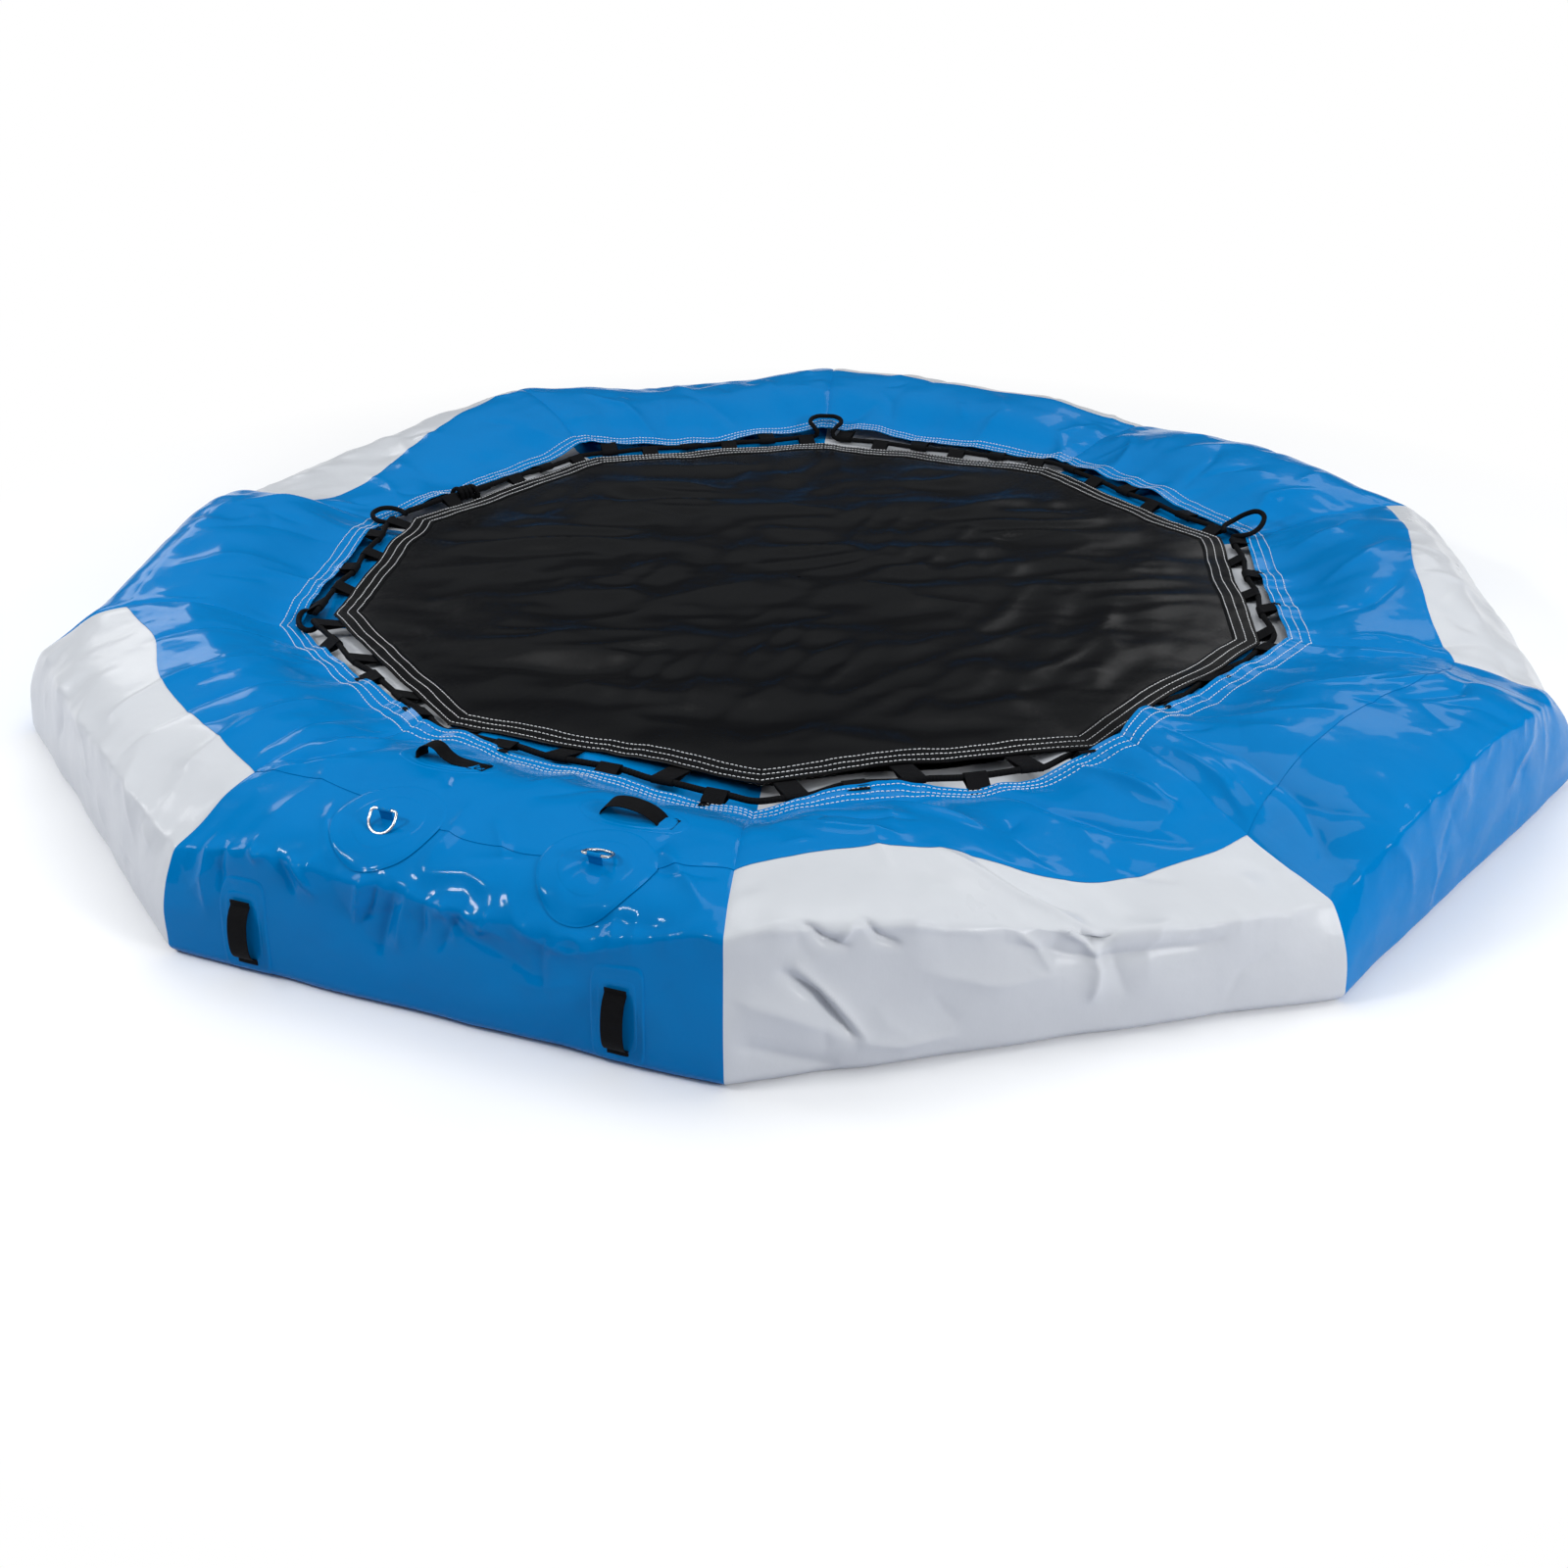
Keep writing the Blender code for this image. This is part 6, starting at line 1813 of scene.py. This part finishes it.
@dataclass
class Fittings:
    """The patches, tabs, D-rings and handles of the boarding side."""

    shape: RingShape
    finishes: Finishes
    side: int = 7
    skin: float = 0.0009
    clearance: float = 0.0003
    patch_thickness: float = 0.0015
    weld_bead: float = 0.0011
    ring_patch: float = 0.1125
    ring_layer: float = 0.074
    rings: tuple[RingSpot, ...] = (
        RingSpot("left", Body.D_RING_LEFT, 0.145, -0.2656, 1),
        RingSpot("right", Body.D_RING_RIGHT, 0.141, 0.530, -1),
    )
    tops: tuple[TopSpot, ...] = (
        TopSpot("left", 0.393, -0.3408, False), TopSpot("right", 0.311, 0.5716, True),
    )
    walls: tuple[WallSpot, ...] = (WallSpot("left", 0.100, -0.6733), WallSpot("right", 0.100, 0.657))
    top_patch: tuple[float, float] = (0.115, 0.055)
    side_patch: tuple[float, float] = (0.055, 0.100)
    side_patch_height: float = 0.112
    top_layers: tuple[Pair, ...] = ((1.0, 0.0010), (0.80, 0.0007), (0.62, 0.0006))
    side_layers: tuple[Pair, ...] = ((1.0, 0.0010), (0.72, 0.0008))
    over_apron: float = 0.0022
    over_wall: float = 0.0006
    wire: float = 0.003
    ring_inside: float = 0.050
    ring_leg: float = 0.020
    ring_bend: float = 0.008
    tab_width: float = 0.028
    tab_height: float = 0.030
    tab_foot: float = 0.025
    tab_thickness: float = 0.0012
    tab_clearance: float = 0.0004
    strap_width: float = 0.045
    strap_thickness: float = 0.0020
    top_span: float = 0.130
    top_rise: float = 0.032
    top_foot: float = 0.024
    side_span: float = 0.118
    side_rise: float = 0.022
    side_foot: float = 0.012
    ring_facet: tuple[Pair, ...] = ((1.82522, 0.30192), (1.69791, 0.3349))
    outer_facet: tuple[Pair, ...] = ((1.69791, 0.3349), (1.5198, 0.34))
    inner_facet: tuple[Pair, ...] = ((1.5198, 0.34), (1.42978, 0.32504))
    arch: tuple[Pair, ...] = (
        (0.0, 0.0), (0.05, 0.50), (0.16, 0.86), (0.34, 1.0), (0.55, 0.96), (0.76, 0.74), (0.91, 0.38),
        (1.0, 0.0),
    )
    slump: tuple[Pair, ...] = (
        (0.0, 0.0), (0.0, 0.46), (0.08, 0.86), (0.20, 1.0), (0.32, 0.86), (0.44, 0.46), (0.60, 0.16),
        (0.82, 0.07), (1.0, 0.0),
    )

    def seat(
        self, facet: tuple[Pair, ...], out: float, share: float, lift: float
    ) -> Matrix:
        """A seat on a facet of the solid ring: X along the side, Y up the facet, Z out of it.

        Args:
            facet: the facet's outer and inner edge, each out and up.
            out: how far out the seat is.
            share: the share of the way from the side's middle to a corner.
            lift: how far off the facet it is.

        Returns:
            The seat in the ring's frame.
        """
        outer, inner = Vector(facet[0]), Vector(facet[1])
        spot = outer.lerp(inner, (outer.x - out) / (outer.x - inner.x))
        up = (inner - outer).normalized()
        normal = Vector((up.y, -up.x))
        along = share * spot.x * SLANT
        spot = spot + normal * lift
        out_way = Vector((normal.x, 0, normal.y))
        along_way = Vector((0, 1, 0))
        turn = Matrix((along_way, out_way.cross(along_way), out_way)).transposed().to_4x4()
        return side_frame(self.side) @ Matrix.Translation((spot.x, along, spot.y)) @ turn

    @property
    def on_patch(self) -> float:
        """The lift of what stands on a patch over the apron."""
        return self.clearance + self.skin + self.clearance + self.patch_thickness + self.clearance

    def disc(self, name: str, along: float, up: float, reach: tuple[float, float], corner: float,
             layers: Sequence[Pair], base: float) -> Piece:
        """A layered patch welded on the skin.

        Args:
            name: the piece's name.
            along, up: its middle on the skin.
            reach: half its length and half its width.
            corner: 2 for an oval, more for a rectangle with rounded corners.
            layers: for each layer its share of the reach and its lift, outermost first.
            base: the lift of its lowest face.

        Returns:
            The patch.
        """
        bm = bmesh.new()
        bm.loops.layers.uv.new("cloth")
        first = bm.verts.new((0.0, 0.0, 0.0))
        shares = [0.0]
        for share, _ in reversed(layers):
            shares += [share - 0.035, share - 0.006, share]
        steps = sorted(set(list(np.linspace(0.0, 1.0, 17)) + shares))
        steps = [step for step in steps if 0 < step <= 1]
        chain = [first] + [bm.verts.new((step, 0.0, 0.0)) for step in steps]
        edges = [bm.edges.new(pair) for pair in zip(chain, chain[1:])]
        bmesh.ops.spin(
            bm, geom=chain + edges, cent=(0, 0, 0), axis=(0, 0, 1), dvec=(0, 0, 0), angle=2 * math.pi,
            steps=72, use_merge=True, use_normal_flip=False, use_duplicate=False,
        )
        bmesh.ops.remove_doubles(bm, verts=bm.verts, dist=1e-5)
        radius = np.array([vert.co.xy.length for vert in bm.verts])
        angle = np.array([math.atan2(vert.co.y, vert.co.x) for vert in bm.verts])
        cos, sin = np.cos(angle), np.sin(angle)
        stretch = (np.abs(cos) ** corner + np.abs(sin) ** corner) ** (-1 / corner)
        x, y = radius * stretch * cos * reach[0], radius * stretch * sin * reach[1]
        lift = np.full(radius.shape, base)
        for share, thickness in layers:
            lift += thickness * (1 - smooth_step(share - 0.035, share - 0.004, radius))
            lift += self.weld_bead * np.exp(-(((radius - share + 0.075) / 0.022) ** 2))
        spots = self.shape.spot(self.side, along + x, up + y, lift)
        for vert, spot in zip(bm.verts, spots):
            vert.co = spot
        way = side_frame(self.side) @ Vector((0.7, 0, 0.7))
        face_along(bm, way)
        layer = bm.loops.layers.uv["cloth"]
        for face in bm.faces:
            for loop in face.loops:
                loop[layer].uv = (loop.vert.co.x, loop.vert.co.y)
        thicken(bm, 0.0006)
        piece = new_piece(name, bm, 60.0)
        self.finishes.dress(piece, self.finishes.blue)
        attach(piece, Body.RING.value)
        return piece

    def flat_strap(self, name: str, way: Sequence[Sequence[float]], width: float, thickness: float,
                   seat: Matrix, finish: object, step: float = 0.0022) -> Piece:
        """A strap or tab along a way.

        Args:
            name: the piece's name.
            way: places in the seat's XZ plane.
            width: its width along the seat's Y.
            thickness: its thickness, outside the way.
            seat: where it is sewn on.
            finish: its cloth.
            step: the length of its faces.

        Returns:
            The strap.
        """
        line = eased_line([(x, 0.0, z) for x, z in way], step)
        count = len(line)
        points = np.array([tuple(place) for place in line])
        length = float(np.linalg.norm(np.diff(points, axis=0), axis=1).sum())

        def on_strap(across: Array, along: Array) -> Array:
            """A point of the strap."""
            index = np.rint(along * (count - 1)).astype(int)
            spots = points[index].copy()
            spots[:, 1] = (across - 0.5) * width
            return spots

        bm = draped_grid(12, count - 1, on_strap, (width, length))
        bmesh.ops.recalc_face_normals(bm, faces=bm.faces)
        face_along(bm, Vector((0, 0, 1)))
        for vert in bm.verts:
            vert.co += vert.normal * thickness / 2
        thicken(bm, thickness)
        rims = [edge for edge in bm.edges if edge.calc_face_angle(0.0) > math.radians(50)]
        bmesh.ops.bevel(
            bm, geom=rims, offset=thickness * 0.32, offset_type="OFFSET", affect="EDGES", segments=2,
            profile=0.5, material=-1, clamp_overlap=True,
        )
        bmesh.ops.transform(bm, matrix=seat, verts=bm.verts)
        piece = new_piece(name, bm, 40.0)
        self.finishes.dress(piece, finish)
        return piece

    def box_stitch(self, name: str, seat: Matrix, centres: Sequence[float], half: tuple[float, float],
                   lift: float) -> Piece:
        """Squares of dark stitches with a cross, where a strap is sewn down.

        Args:
            name: the piece's name.
            seat: the strap's seat.
            centres: the middle of each square along the strap.
            half: half a square's length and width.
            lift: how far off the seat the thread lies.

        Returns:
            The stitches as one mesh.
        """
        curve_places = []
        for centre in centres:
            a, b = half
            corners = [(-a, -b), (a, -b), (a, b), (-a, b), (-a, -b), (a, b), (a, -b), (-a, b)]
            curve_places.append([seat @ Vector((centre + x, y, lift)) for x, y in corners])
        joined = bmesh.new()
        for places in curve_places:
            part = round_cord(name, eased_line(places, 0.004), 0.0006, 6)
            joined.from_mesh(part.data)
            bpy.data.objects.remove(part)
        piece = new_piece(name, joined, 60.0)
        self.finishes.dress(piece, self.finishes.webbing)
        return piece

    def lean(self) -> float:
        """How far a D-ring leans down from level until its round end lies on the patch."""
        reach = self.ring_leg + self.ring_inside / 2 + self.wire
        return math.asin((self.tab_height - self.wire - self.clearance) / reach)

    def d_ring(self, spot: RingSpot, seat: Matrix) -> None:
        """A D-ring of round wire, its straight leg through the tab."""
        radius = self.ring_inside / 2 + self.wire
        points: list[tuple[float, float, float]] = []
        for step in range(13):
            angle = math.pi * step / 12
            points.append((radius * math.cos(angle), self.ring_leg + radius * math.sin(angle), 0.0))
        bend = self.ring_bend
        cut = bend * 0.29
        for way in (-1, 1):
            corner = [
                (way * radius, bend, 0.0), (way * (radius - cut), cut, 0.0),
                (way * (radius - bend), 0.0, 0.0), (way * (radius - bend) * 0.4, 0.0, 0.0),
            ]
            points += corner if way < 0 else corner[::-1]
        facing = Matrix.Rotation(math.pi if spot.lean > 0 else 0.0, 4, "Z")
        turn = facing @ Matrix.Rotation(-self.lean(), 4, "X")
        place = seat @ Matrix.Translation((0, 0, self.tab_height)) @ turn
        line = [place @ point for point in eased_line(points, 0.0018, closed=True)]
        ring = round_cord(f"ring_wire_{spot.end}", line, self.wire, 20, closed=True)
        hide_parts(f"d_ring_{spot.end}")
        self.finishes.dress(ring, self.finishes.steel)
        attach(ring, spot.body.value)

    def tab(self, spot: RingSpot, seat: Matrix) -> None:
        """The folded tab that holds a D-ring: two feet on the patch and a fold round the leg."""
        half = self.tab_thickness / 2
        leg = half + self.clearance
        fold = self.wire + self.tab_clearance + half
        opening = math.asin(leg / fold)
        foot = [(leg + self.tab_foot, half), (leg + self.tab_foot * 0.5, half), (leg + 0.003, half),
                (leg, half + 0.004), (leg, self.tab_height * 0.55)]
        arc = []
        for step in range(13):
            angle = -math.pi / 2 + opening + (2 * math.pi - 2 * opening) * step / 12
            arc.append((fold * math.cos(angle), self.tab_height + fold * math.sin(angle)))
        way = foot + arc + [(-x, z) for x, z in reversed(foot)]
        turned = seat @ Matrix.Rotation(math.pi / 2, 4, "Z")
        piece = self.flat_strap(
            f"ring_tab_cloth_{spot.end}", way, self.tab_width, self.tab_thickness, turned,
            self.finishes.blue, 0.0012,
        )
        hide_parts(f"ring_tab_{spot.end}")
        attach(piece, Body.RING.value)

    def on_top(self, spot: RingSpot | TopSpot) -> tuple[float, float, float]:
        """A fitting's distance out, its place along the side and its way in over the top."""
        out = self.shape.across_flats_half - spot.setback
        angle = middle_angle(self.side) + math.degrees(math.atan(spot.share * SLANT))
        return out, spot.share * out * SLANT, self.shape.up_at(out, angle)

    def build_rings(self) -> None:
        """The two D-rings with their tabs and round patches."""
        for spot in self.rings:
            out, along, up = self.on_top(spot)
            seat = self.seat(self.ring_facet, out, spot.share, self.on_patch)
            patch = self.disc(
                f"round_patch_{spot.end}", along, up, (self.ring_patch, self.ring_patch), 2.0,
                ((1.0, 0.0012), (self.ring_layer / self.ring_patch, 0.0010)), self.over_apron,
            )
            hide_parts(f"ring_patch_{spot.end}")
            self.tab(spot, seat)
            self.d_ring(spot, seat)

    def strap_way(self, shares: Sequence[Pair], span: float, rise: float,
                  foot: float) -> list[tuple[float, float]]:
        """A handle's way from the end of one foot over its arch to the end of the other."""
        arch = [(along * span - span / 2, up * rise) for along, up in shares]
        return [(-span / 2 - foot, 0.0), (-span / 2 - foot / 2, 0.0), *arch, (span / 2 + foot / 2, 0.0),
                (span / 2 + foot, 0.0)]

    def build_top_handles(self) -> None:
        """The two handles on top, one arched and one slumped, on their oval patches."""
        for spot in self.tops:
            out, along, up = self.on_top(spot)
            facet = self.outer_facet if spot.arched else self.inner_facet
            seat = self.seat(facet, out, spot.share, self.on_patch)
            patch = self.disc(
                f"oval_patch_{spot.end}", along, up, self.top_patch, 2.2, self.top_layers,
                self.over_apron,
            )
            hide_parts(f"top_handle_patch_{spot.end}")
            way = self.strap_way(self.arch if spot.arched else self.slump, self.top_span, self.top_rise,
                                 self.top_foot)
            strap = self.flat_strap(
                f"top_strap_{spot.end}", way, self.strap_width, self.strap_thickness, seat,
                self.finishes.webbing,
            )
            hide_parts(f"top_handle_{spot.end}")
            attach(strap, Body.RING.value)
            half = (self.top_foot / 2 - 0.003, self.strap_width / 2 - 0.004)
            centre = self.top_span / 2 + self.top_foot / 2
            sewn = self.box_stitch(
                f"top_strap_sewing_{spot.end}", seat, (-centre, centre), half,
                self.strap_thickness + 0.0002,
            )
            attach(sewn, Body.RING.value)

    def build_side_handles(self) -> None:
        """The two upright handles on the wall, on their layered patches."""
        out = self.shape.across_flats_half
        lift = self.clearance + self.patch_thickness + self.clearance
        upright = Matrix(((0, 1, 0), (0, 0, 1), (1, 0, 0))).transposed().to_4x4()
        for spot in self.walls:
            along = spot.share * out * SLANT
            angle = middle_angle(self.side) + math.degrees(math.atan(spot.share * SLANT))
            crease = float(self.shape.station(2, np.array([angle]))[0])
            up = self.side_patch_height / crease * self.shape.wall
            patch = self.disc(
                f"wall_patch_{spot.end}", along, up, self.side_patch, 7.0, self.side_layers,
                self.over_wall,
            )
            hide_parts(f"side_handle_patch_{spot.end}")
            seat = (
                side_frame(self.side) @ Matrix.Translation((out + lift, along, spot.height)) @ upright
                @ Matrix.Rotation(math.pi / 2, 4, "Z")
            )
            way = self.strap_way(self.arch, self.side_span, self.side_rise, self.side_foot)
            strap = self.flat_strap(
                f"wall_strap_{spot.end}", way, self.strap_width, self.strap_thickness, seat,
                self.finishes.webbing,
            )
            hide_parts(f"side_handle_{spot.end}")
            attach(strap, Body.RING.value)

    def build(self) -> None:
        """Makes every fitting."""
        self.build_rings()
        self.build_top_handles()
        self.build_side_handles()
        LOG.info("fittings made")


@dataclass
class Valve:
    """The inflation valve's nodes, which keep their solid shapes and get their finishes."""

    finishes: Finishes
    plastic: tuple[str, ...] = ("valve_body", "valve_nut", "valve_stem", "valve_cap")
    pin: str = "valve_hinge_pin"
    spring_wire: float = 0.0009
    spring_turns: int = 3
    push: float = 0.005

    def spring(self) -> None:
        """The spring, which the stem presses together against the bridge."""
        low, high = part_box("valve_spring")
        radius = (high.x - low.x - self.spring_wire) / 2
        start, end = low.y + self.spring_wire / 2, high.y - self.spring_wire / 2
        middle = (low.z + high.z) / 2
        places = []
        for share in np.linspace(0.0, 1.0, self.spring_turns * 24 + 1):
            angle = 2 * math.pi * self.spring_turns * share
            across, up = radius * math.cos(angle), radius * math.sin(angle)
            places.append(Vector((across, start + (end - start) * share, middle + up)))
        coil = round_cord("valve_coil", places, self.spring_wire / 2, 10)
        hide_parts("valve_spring")
        self.finishes.dress(coil, self.finishes.steel)
        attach(coil, Body.RING.value)
        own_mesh(coil)

    def build(self) -> None:
        """Dresses the valve and winds its spring."""
        self.spring()
        for name in self.plastic:
            self.finishes.dress(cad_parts[name], self.finishes.plastic)
        self.finishes.dress(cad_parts[self.pin], self.finishes.steel)
        LOG.info("valve dressed")


# --- The studio ---


@dataclass
class Studio:
    """The pale floor, the soft lamps and the camera."""

    camera_place: Point = (-1.157, -4.574, 2.028)
    camera_aim: Point = (-0.218, -0.724, 0.0)
    lens: float = 43.03
    floor_size: float = 60.0
    horizon: Point = (0.035, 0.037, 0.042)
    haze: Point = (0.060, 0.064, 0.072)
    zenith: Point = (0.60, 0.63, 0.66)
    dim_to: float = 0.34
    bright_from: float = 0.75
    white_from: float = 2.0
    white_to: float = 3.1
    lamps: tuple[tuple[str, Point, Point, tuple[float, float], float], ...] = (
        ("lamp_overhead", (0.3, 0.6, 5.0), (0.1, 0.0, 0.2), (3.0, 2.2), 62.0),
        ("lamp_left", (-4.6, -1.6, 3.9), (-1.0, -1.4, 0.3), (1.2, 0.34), 84.0),
        ("lamp_far_left", (-5.6, 1.6, 3.2), (-1.2, 0.0, 0.1), (1.8, 1.2), 66.0),
        ("lamp_front", (4.1, -6.4, 2.8), (0.3, -0.8, 0.1), (2.4, 1.8), 262.0),
        ("lamp_right", (5.4, -1.6, 3.4), (0.4, -0.2, 0.1), (1.8, 1.5), 50.0),
        ("lamp_back_left", (-2.9, 5.9, 2.4), (-1.0, 0.2, 0.2), (2.2, 1.2), 30.0),
        ("lamp_back_right", (4.6, 4.2, 3.9), (0.6, 0.2, 0.2), (2.2, 1.4), 22.0),
    )

    def floor(self) -> None:
        """The floor, which keeps the object's shadow and turns plain white away from it."""
        bm = bmesh.new()
        bmesh.ops.create_grid(bm, x_segments=1, y_segments=1, size=self.floor_size / 2)
        floor = new_piece("studio_floor", bm)
        make = Weaver("studio_floor_paper")
        place = make.place()
        grain = make.noise(place, 4.0, 3.0)
        tone = make.blend(grain, (0.95, 0.95, 0.955), (0.97, 0.97, 0.975))
        make.finish(Base_Color=tone, Roughness=0.9, Specular_IOR_Level=0.0)
        away = Signal(make, make.node("ShaderNodeVectorMath", {"operation": "LENGTH"}, place)[0])
        fade = self.white_to - self.white_from
        clear = (away * (1 / fade) - self.white_from / fade).clamped()
        path = make.node("ShaderNodeLightPath", {})
        looked_at, mirrored, seen_through = (Signal(make, path[index]) for index in (0, 3, 6))
        seen = (looked_at + mirrored + seen_through).clamped()
        glow = make.node("ShaderNodeEmission", {}, (1.0, 1.0, 1.0, 1.0), 1.0)[0]
        dim = make.node("ShaderNodeBsdfDiffuse", {}, (0.62, 0.64, 0.72, 1.0), 0.0)[0]
        paper = make.node("ShaderNodeMixShader", {}, seen, dim, make.shader.outputs[0])[0]
        mixed = make.node("ShaderNodeMixShader", {}, clear * seen, paper, glow)[0]
        make.fill(make.nodes["Material Output"].inputs["Surface"], mixed)
        floor.data.materials.append(make.material)
        floor.location.z = -0.0005

    def world(self) -> None:
        """A soft surround, dim at the horizon and brighter overhead, that the camera sees as white."""
        world = bpy.data.worlds.new("studio_surround")
        bpy.context.scene.world = world
        world.use_nodes = True
        tree = world.node_tree
        tree.nodes.clear()
        path = tree.nodes.new("ShaderNodeLightPath")
        way = tree.nodes.new("ShaderNodeTexCoord")
        parts = tree.nodes.new("ShaderNodeSeparateXYZ")
        ramp = tree.nodes.new("ShaderNodeValToRGB")
        mix = tree.nodes.new("ShaderNodeMixShader")
        out = tree.nodes.new("ShaderNodeOutputWorld")
        stops = ramp.color_ramp.elements
        stops[0].position, stops[0].color = 0.0, (*self.horizon, 1.0)
        stops[1].position, stops[1].color = self.bright_from, (*self.zenith, 1.0)
        haze = stops.new(self.dim_to)
        haze.color = (*self.haze, 1.0)
        soft, white = (tree.nodes.new("ShaderNodeBackground") for _ in range(2))
        for sky in (soft, white):
            sky.inputs["Color"].default_value = (1.0, 1.0, 1.0, 1.0)
            sky.inputs["Strength"].default_value = 1.0
        for start, end in (
            (way.outputs["Generated"], parts.inputs[0]), (parts.outputs[2], ramp.inputs[0]),
            (ramp.outputs[0], soft.inputs["Color"]), (path.outputs["Is Camera Ray"], mix.inputs[0]),
            (soft.outputs[0], mix.inputs[1]), (white.outputs[0], mix.inputs[2]),
            (mix.outputs[0], out.inputs[0]),
        ):
            tree.links.new(start, end)

    def lights(self) -> None:
        """The soft lamps."""
        for name, place, aim, size, power in self.lamps:
            data = bpy.data.lights.new(name, "AREA")
            data.shape = "RECTANGLE"
            data.size, data.size_y = size
            data.energy = power
            lamp = bpy.data.objects.new(name, data)
            bpy.context.scene.collection.objects.link(lamp)
            lamp.location = place
            lamp.rotation_euler = (Vector(aim) - Vector(place)).to_track_quat("-Z", "Y").to_euler()

    def camera(self) -> None:
        """The camera at the photograph's viewing angle."""
        data = bpy.data.cameras.new("studio_camera")
        data.lens = self.lens
        data.sensor_width = 36.0
        data.clip_end = 200.0
        camera = bpy.data.objects.new("studio_camera", data)
        bpy.context.scene.collection.objects.link(camera)
        camera.location = self.camera_place
        way = Vector(self.camera_aim) - Vector(self.camera_place)
        camera.rotation_euler = way.to_track_quat("-Z", "Y").to_euler()
        bpy.context.scene.camera = camera

    def build(self) -> None:
        """Sets the studio up."""
        bpy.context.scene.view_settings.view_transform = "Standard"
        self.camera()
        self.floor()
        self.world()
        self.lights()
        LOG.info("studio set")


def main() -> None:
    """Builds the trampoline and its studio, in order."""
    logging.basicConfig(level=logging.INFO, format="%(message)s")
    Studio().build()
    finishes = Finishes()
    shape = RingShape(
        calm=(
            (7, -0.150, 0.393, 0.085, 0.0), (7, 0.300, 0.389, 0.085, 0.0),
            (7, -0.165, 0.640, 0.075, 0.0), (7, 0.292, 0.558, 0.075, 0.0),
            (7, -0.412, 0.105, 0.075, 0.0), (7, 0.402, 0.105, 0.075, 0.0),
            (3, 0.0, 0.127, 0.070, 0.0), (7, 0.300, 0.338, 0.036, 0.0055),
        ),
    )
    ring = Ring(shape, finishes)
    ring.build()
    mat = Mat(finishes)
    mat.build()
    Seams(shape, ring, mat, Sewing(finishes)).build()
    Lacing(shape, mat, finishes).build()
    Fittings(shape, finishes).build()
    Valve(finishes).build()


if __name__ == "__main__":
    main()
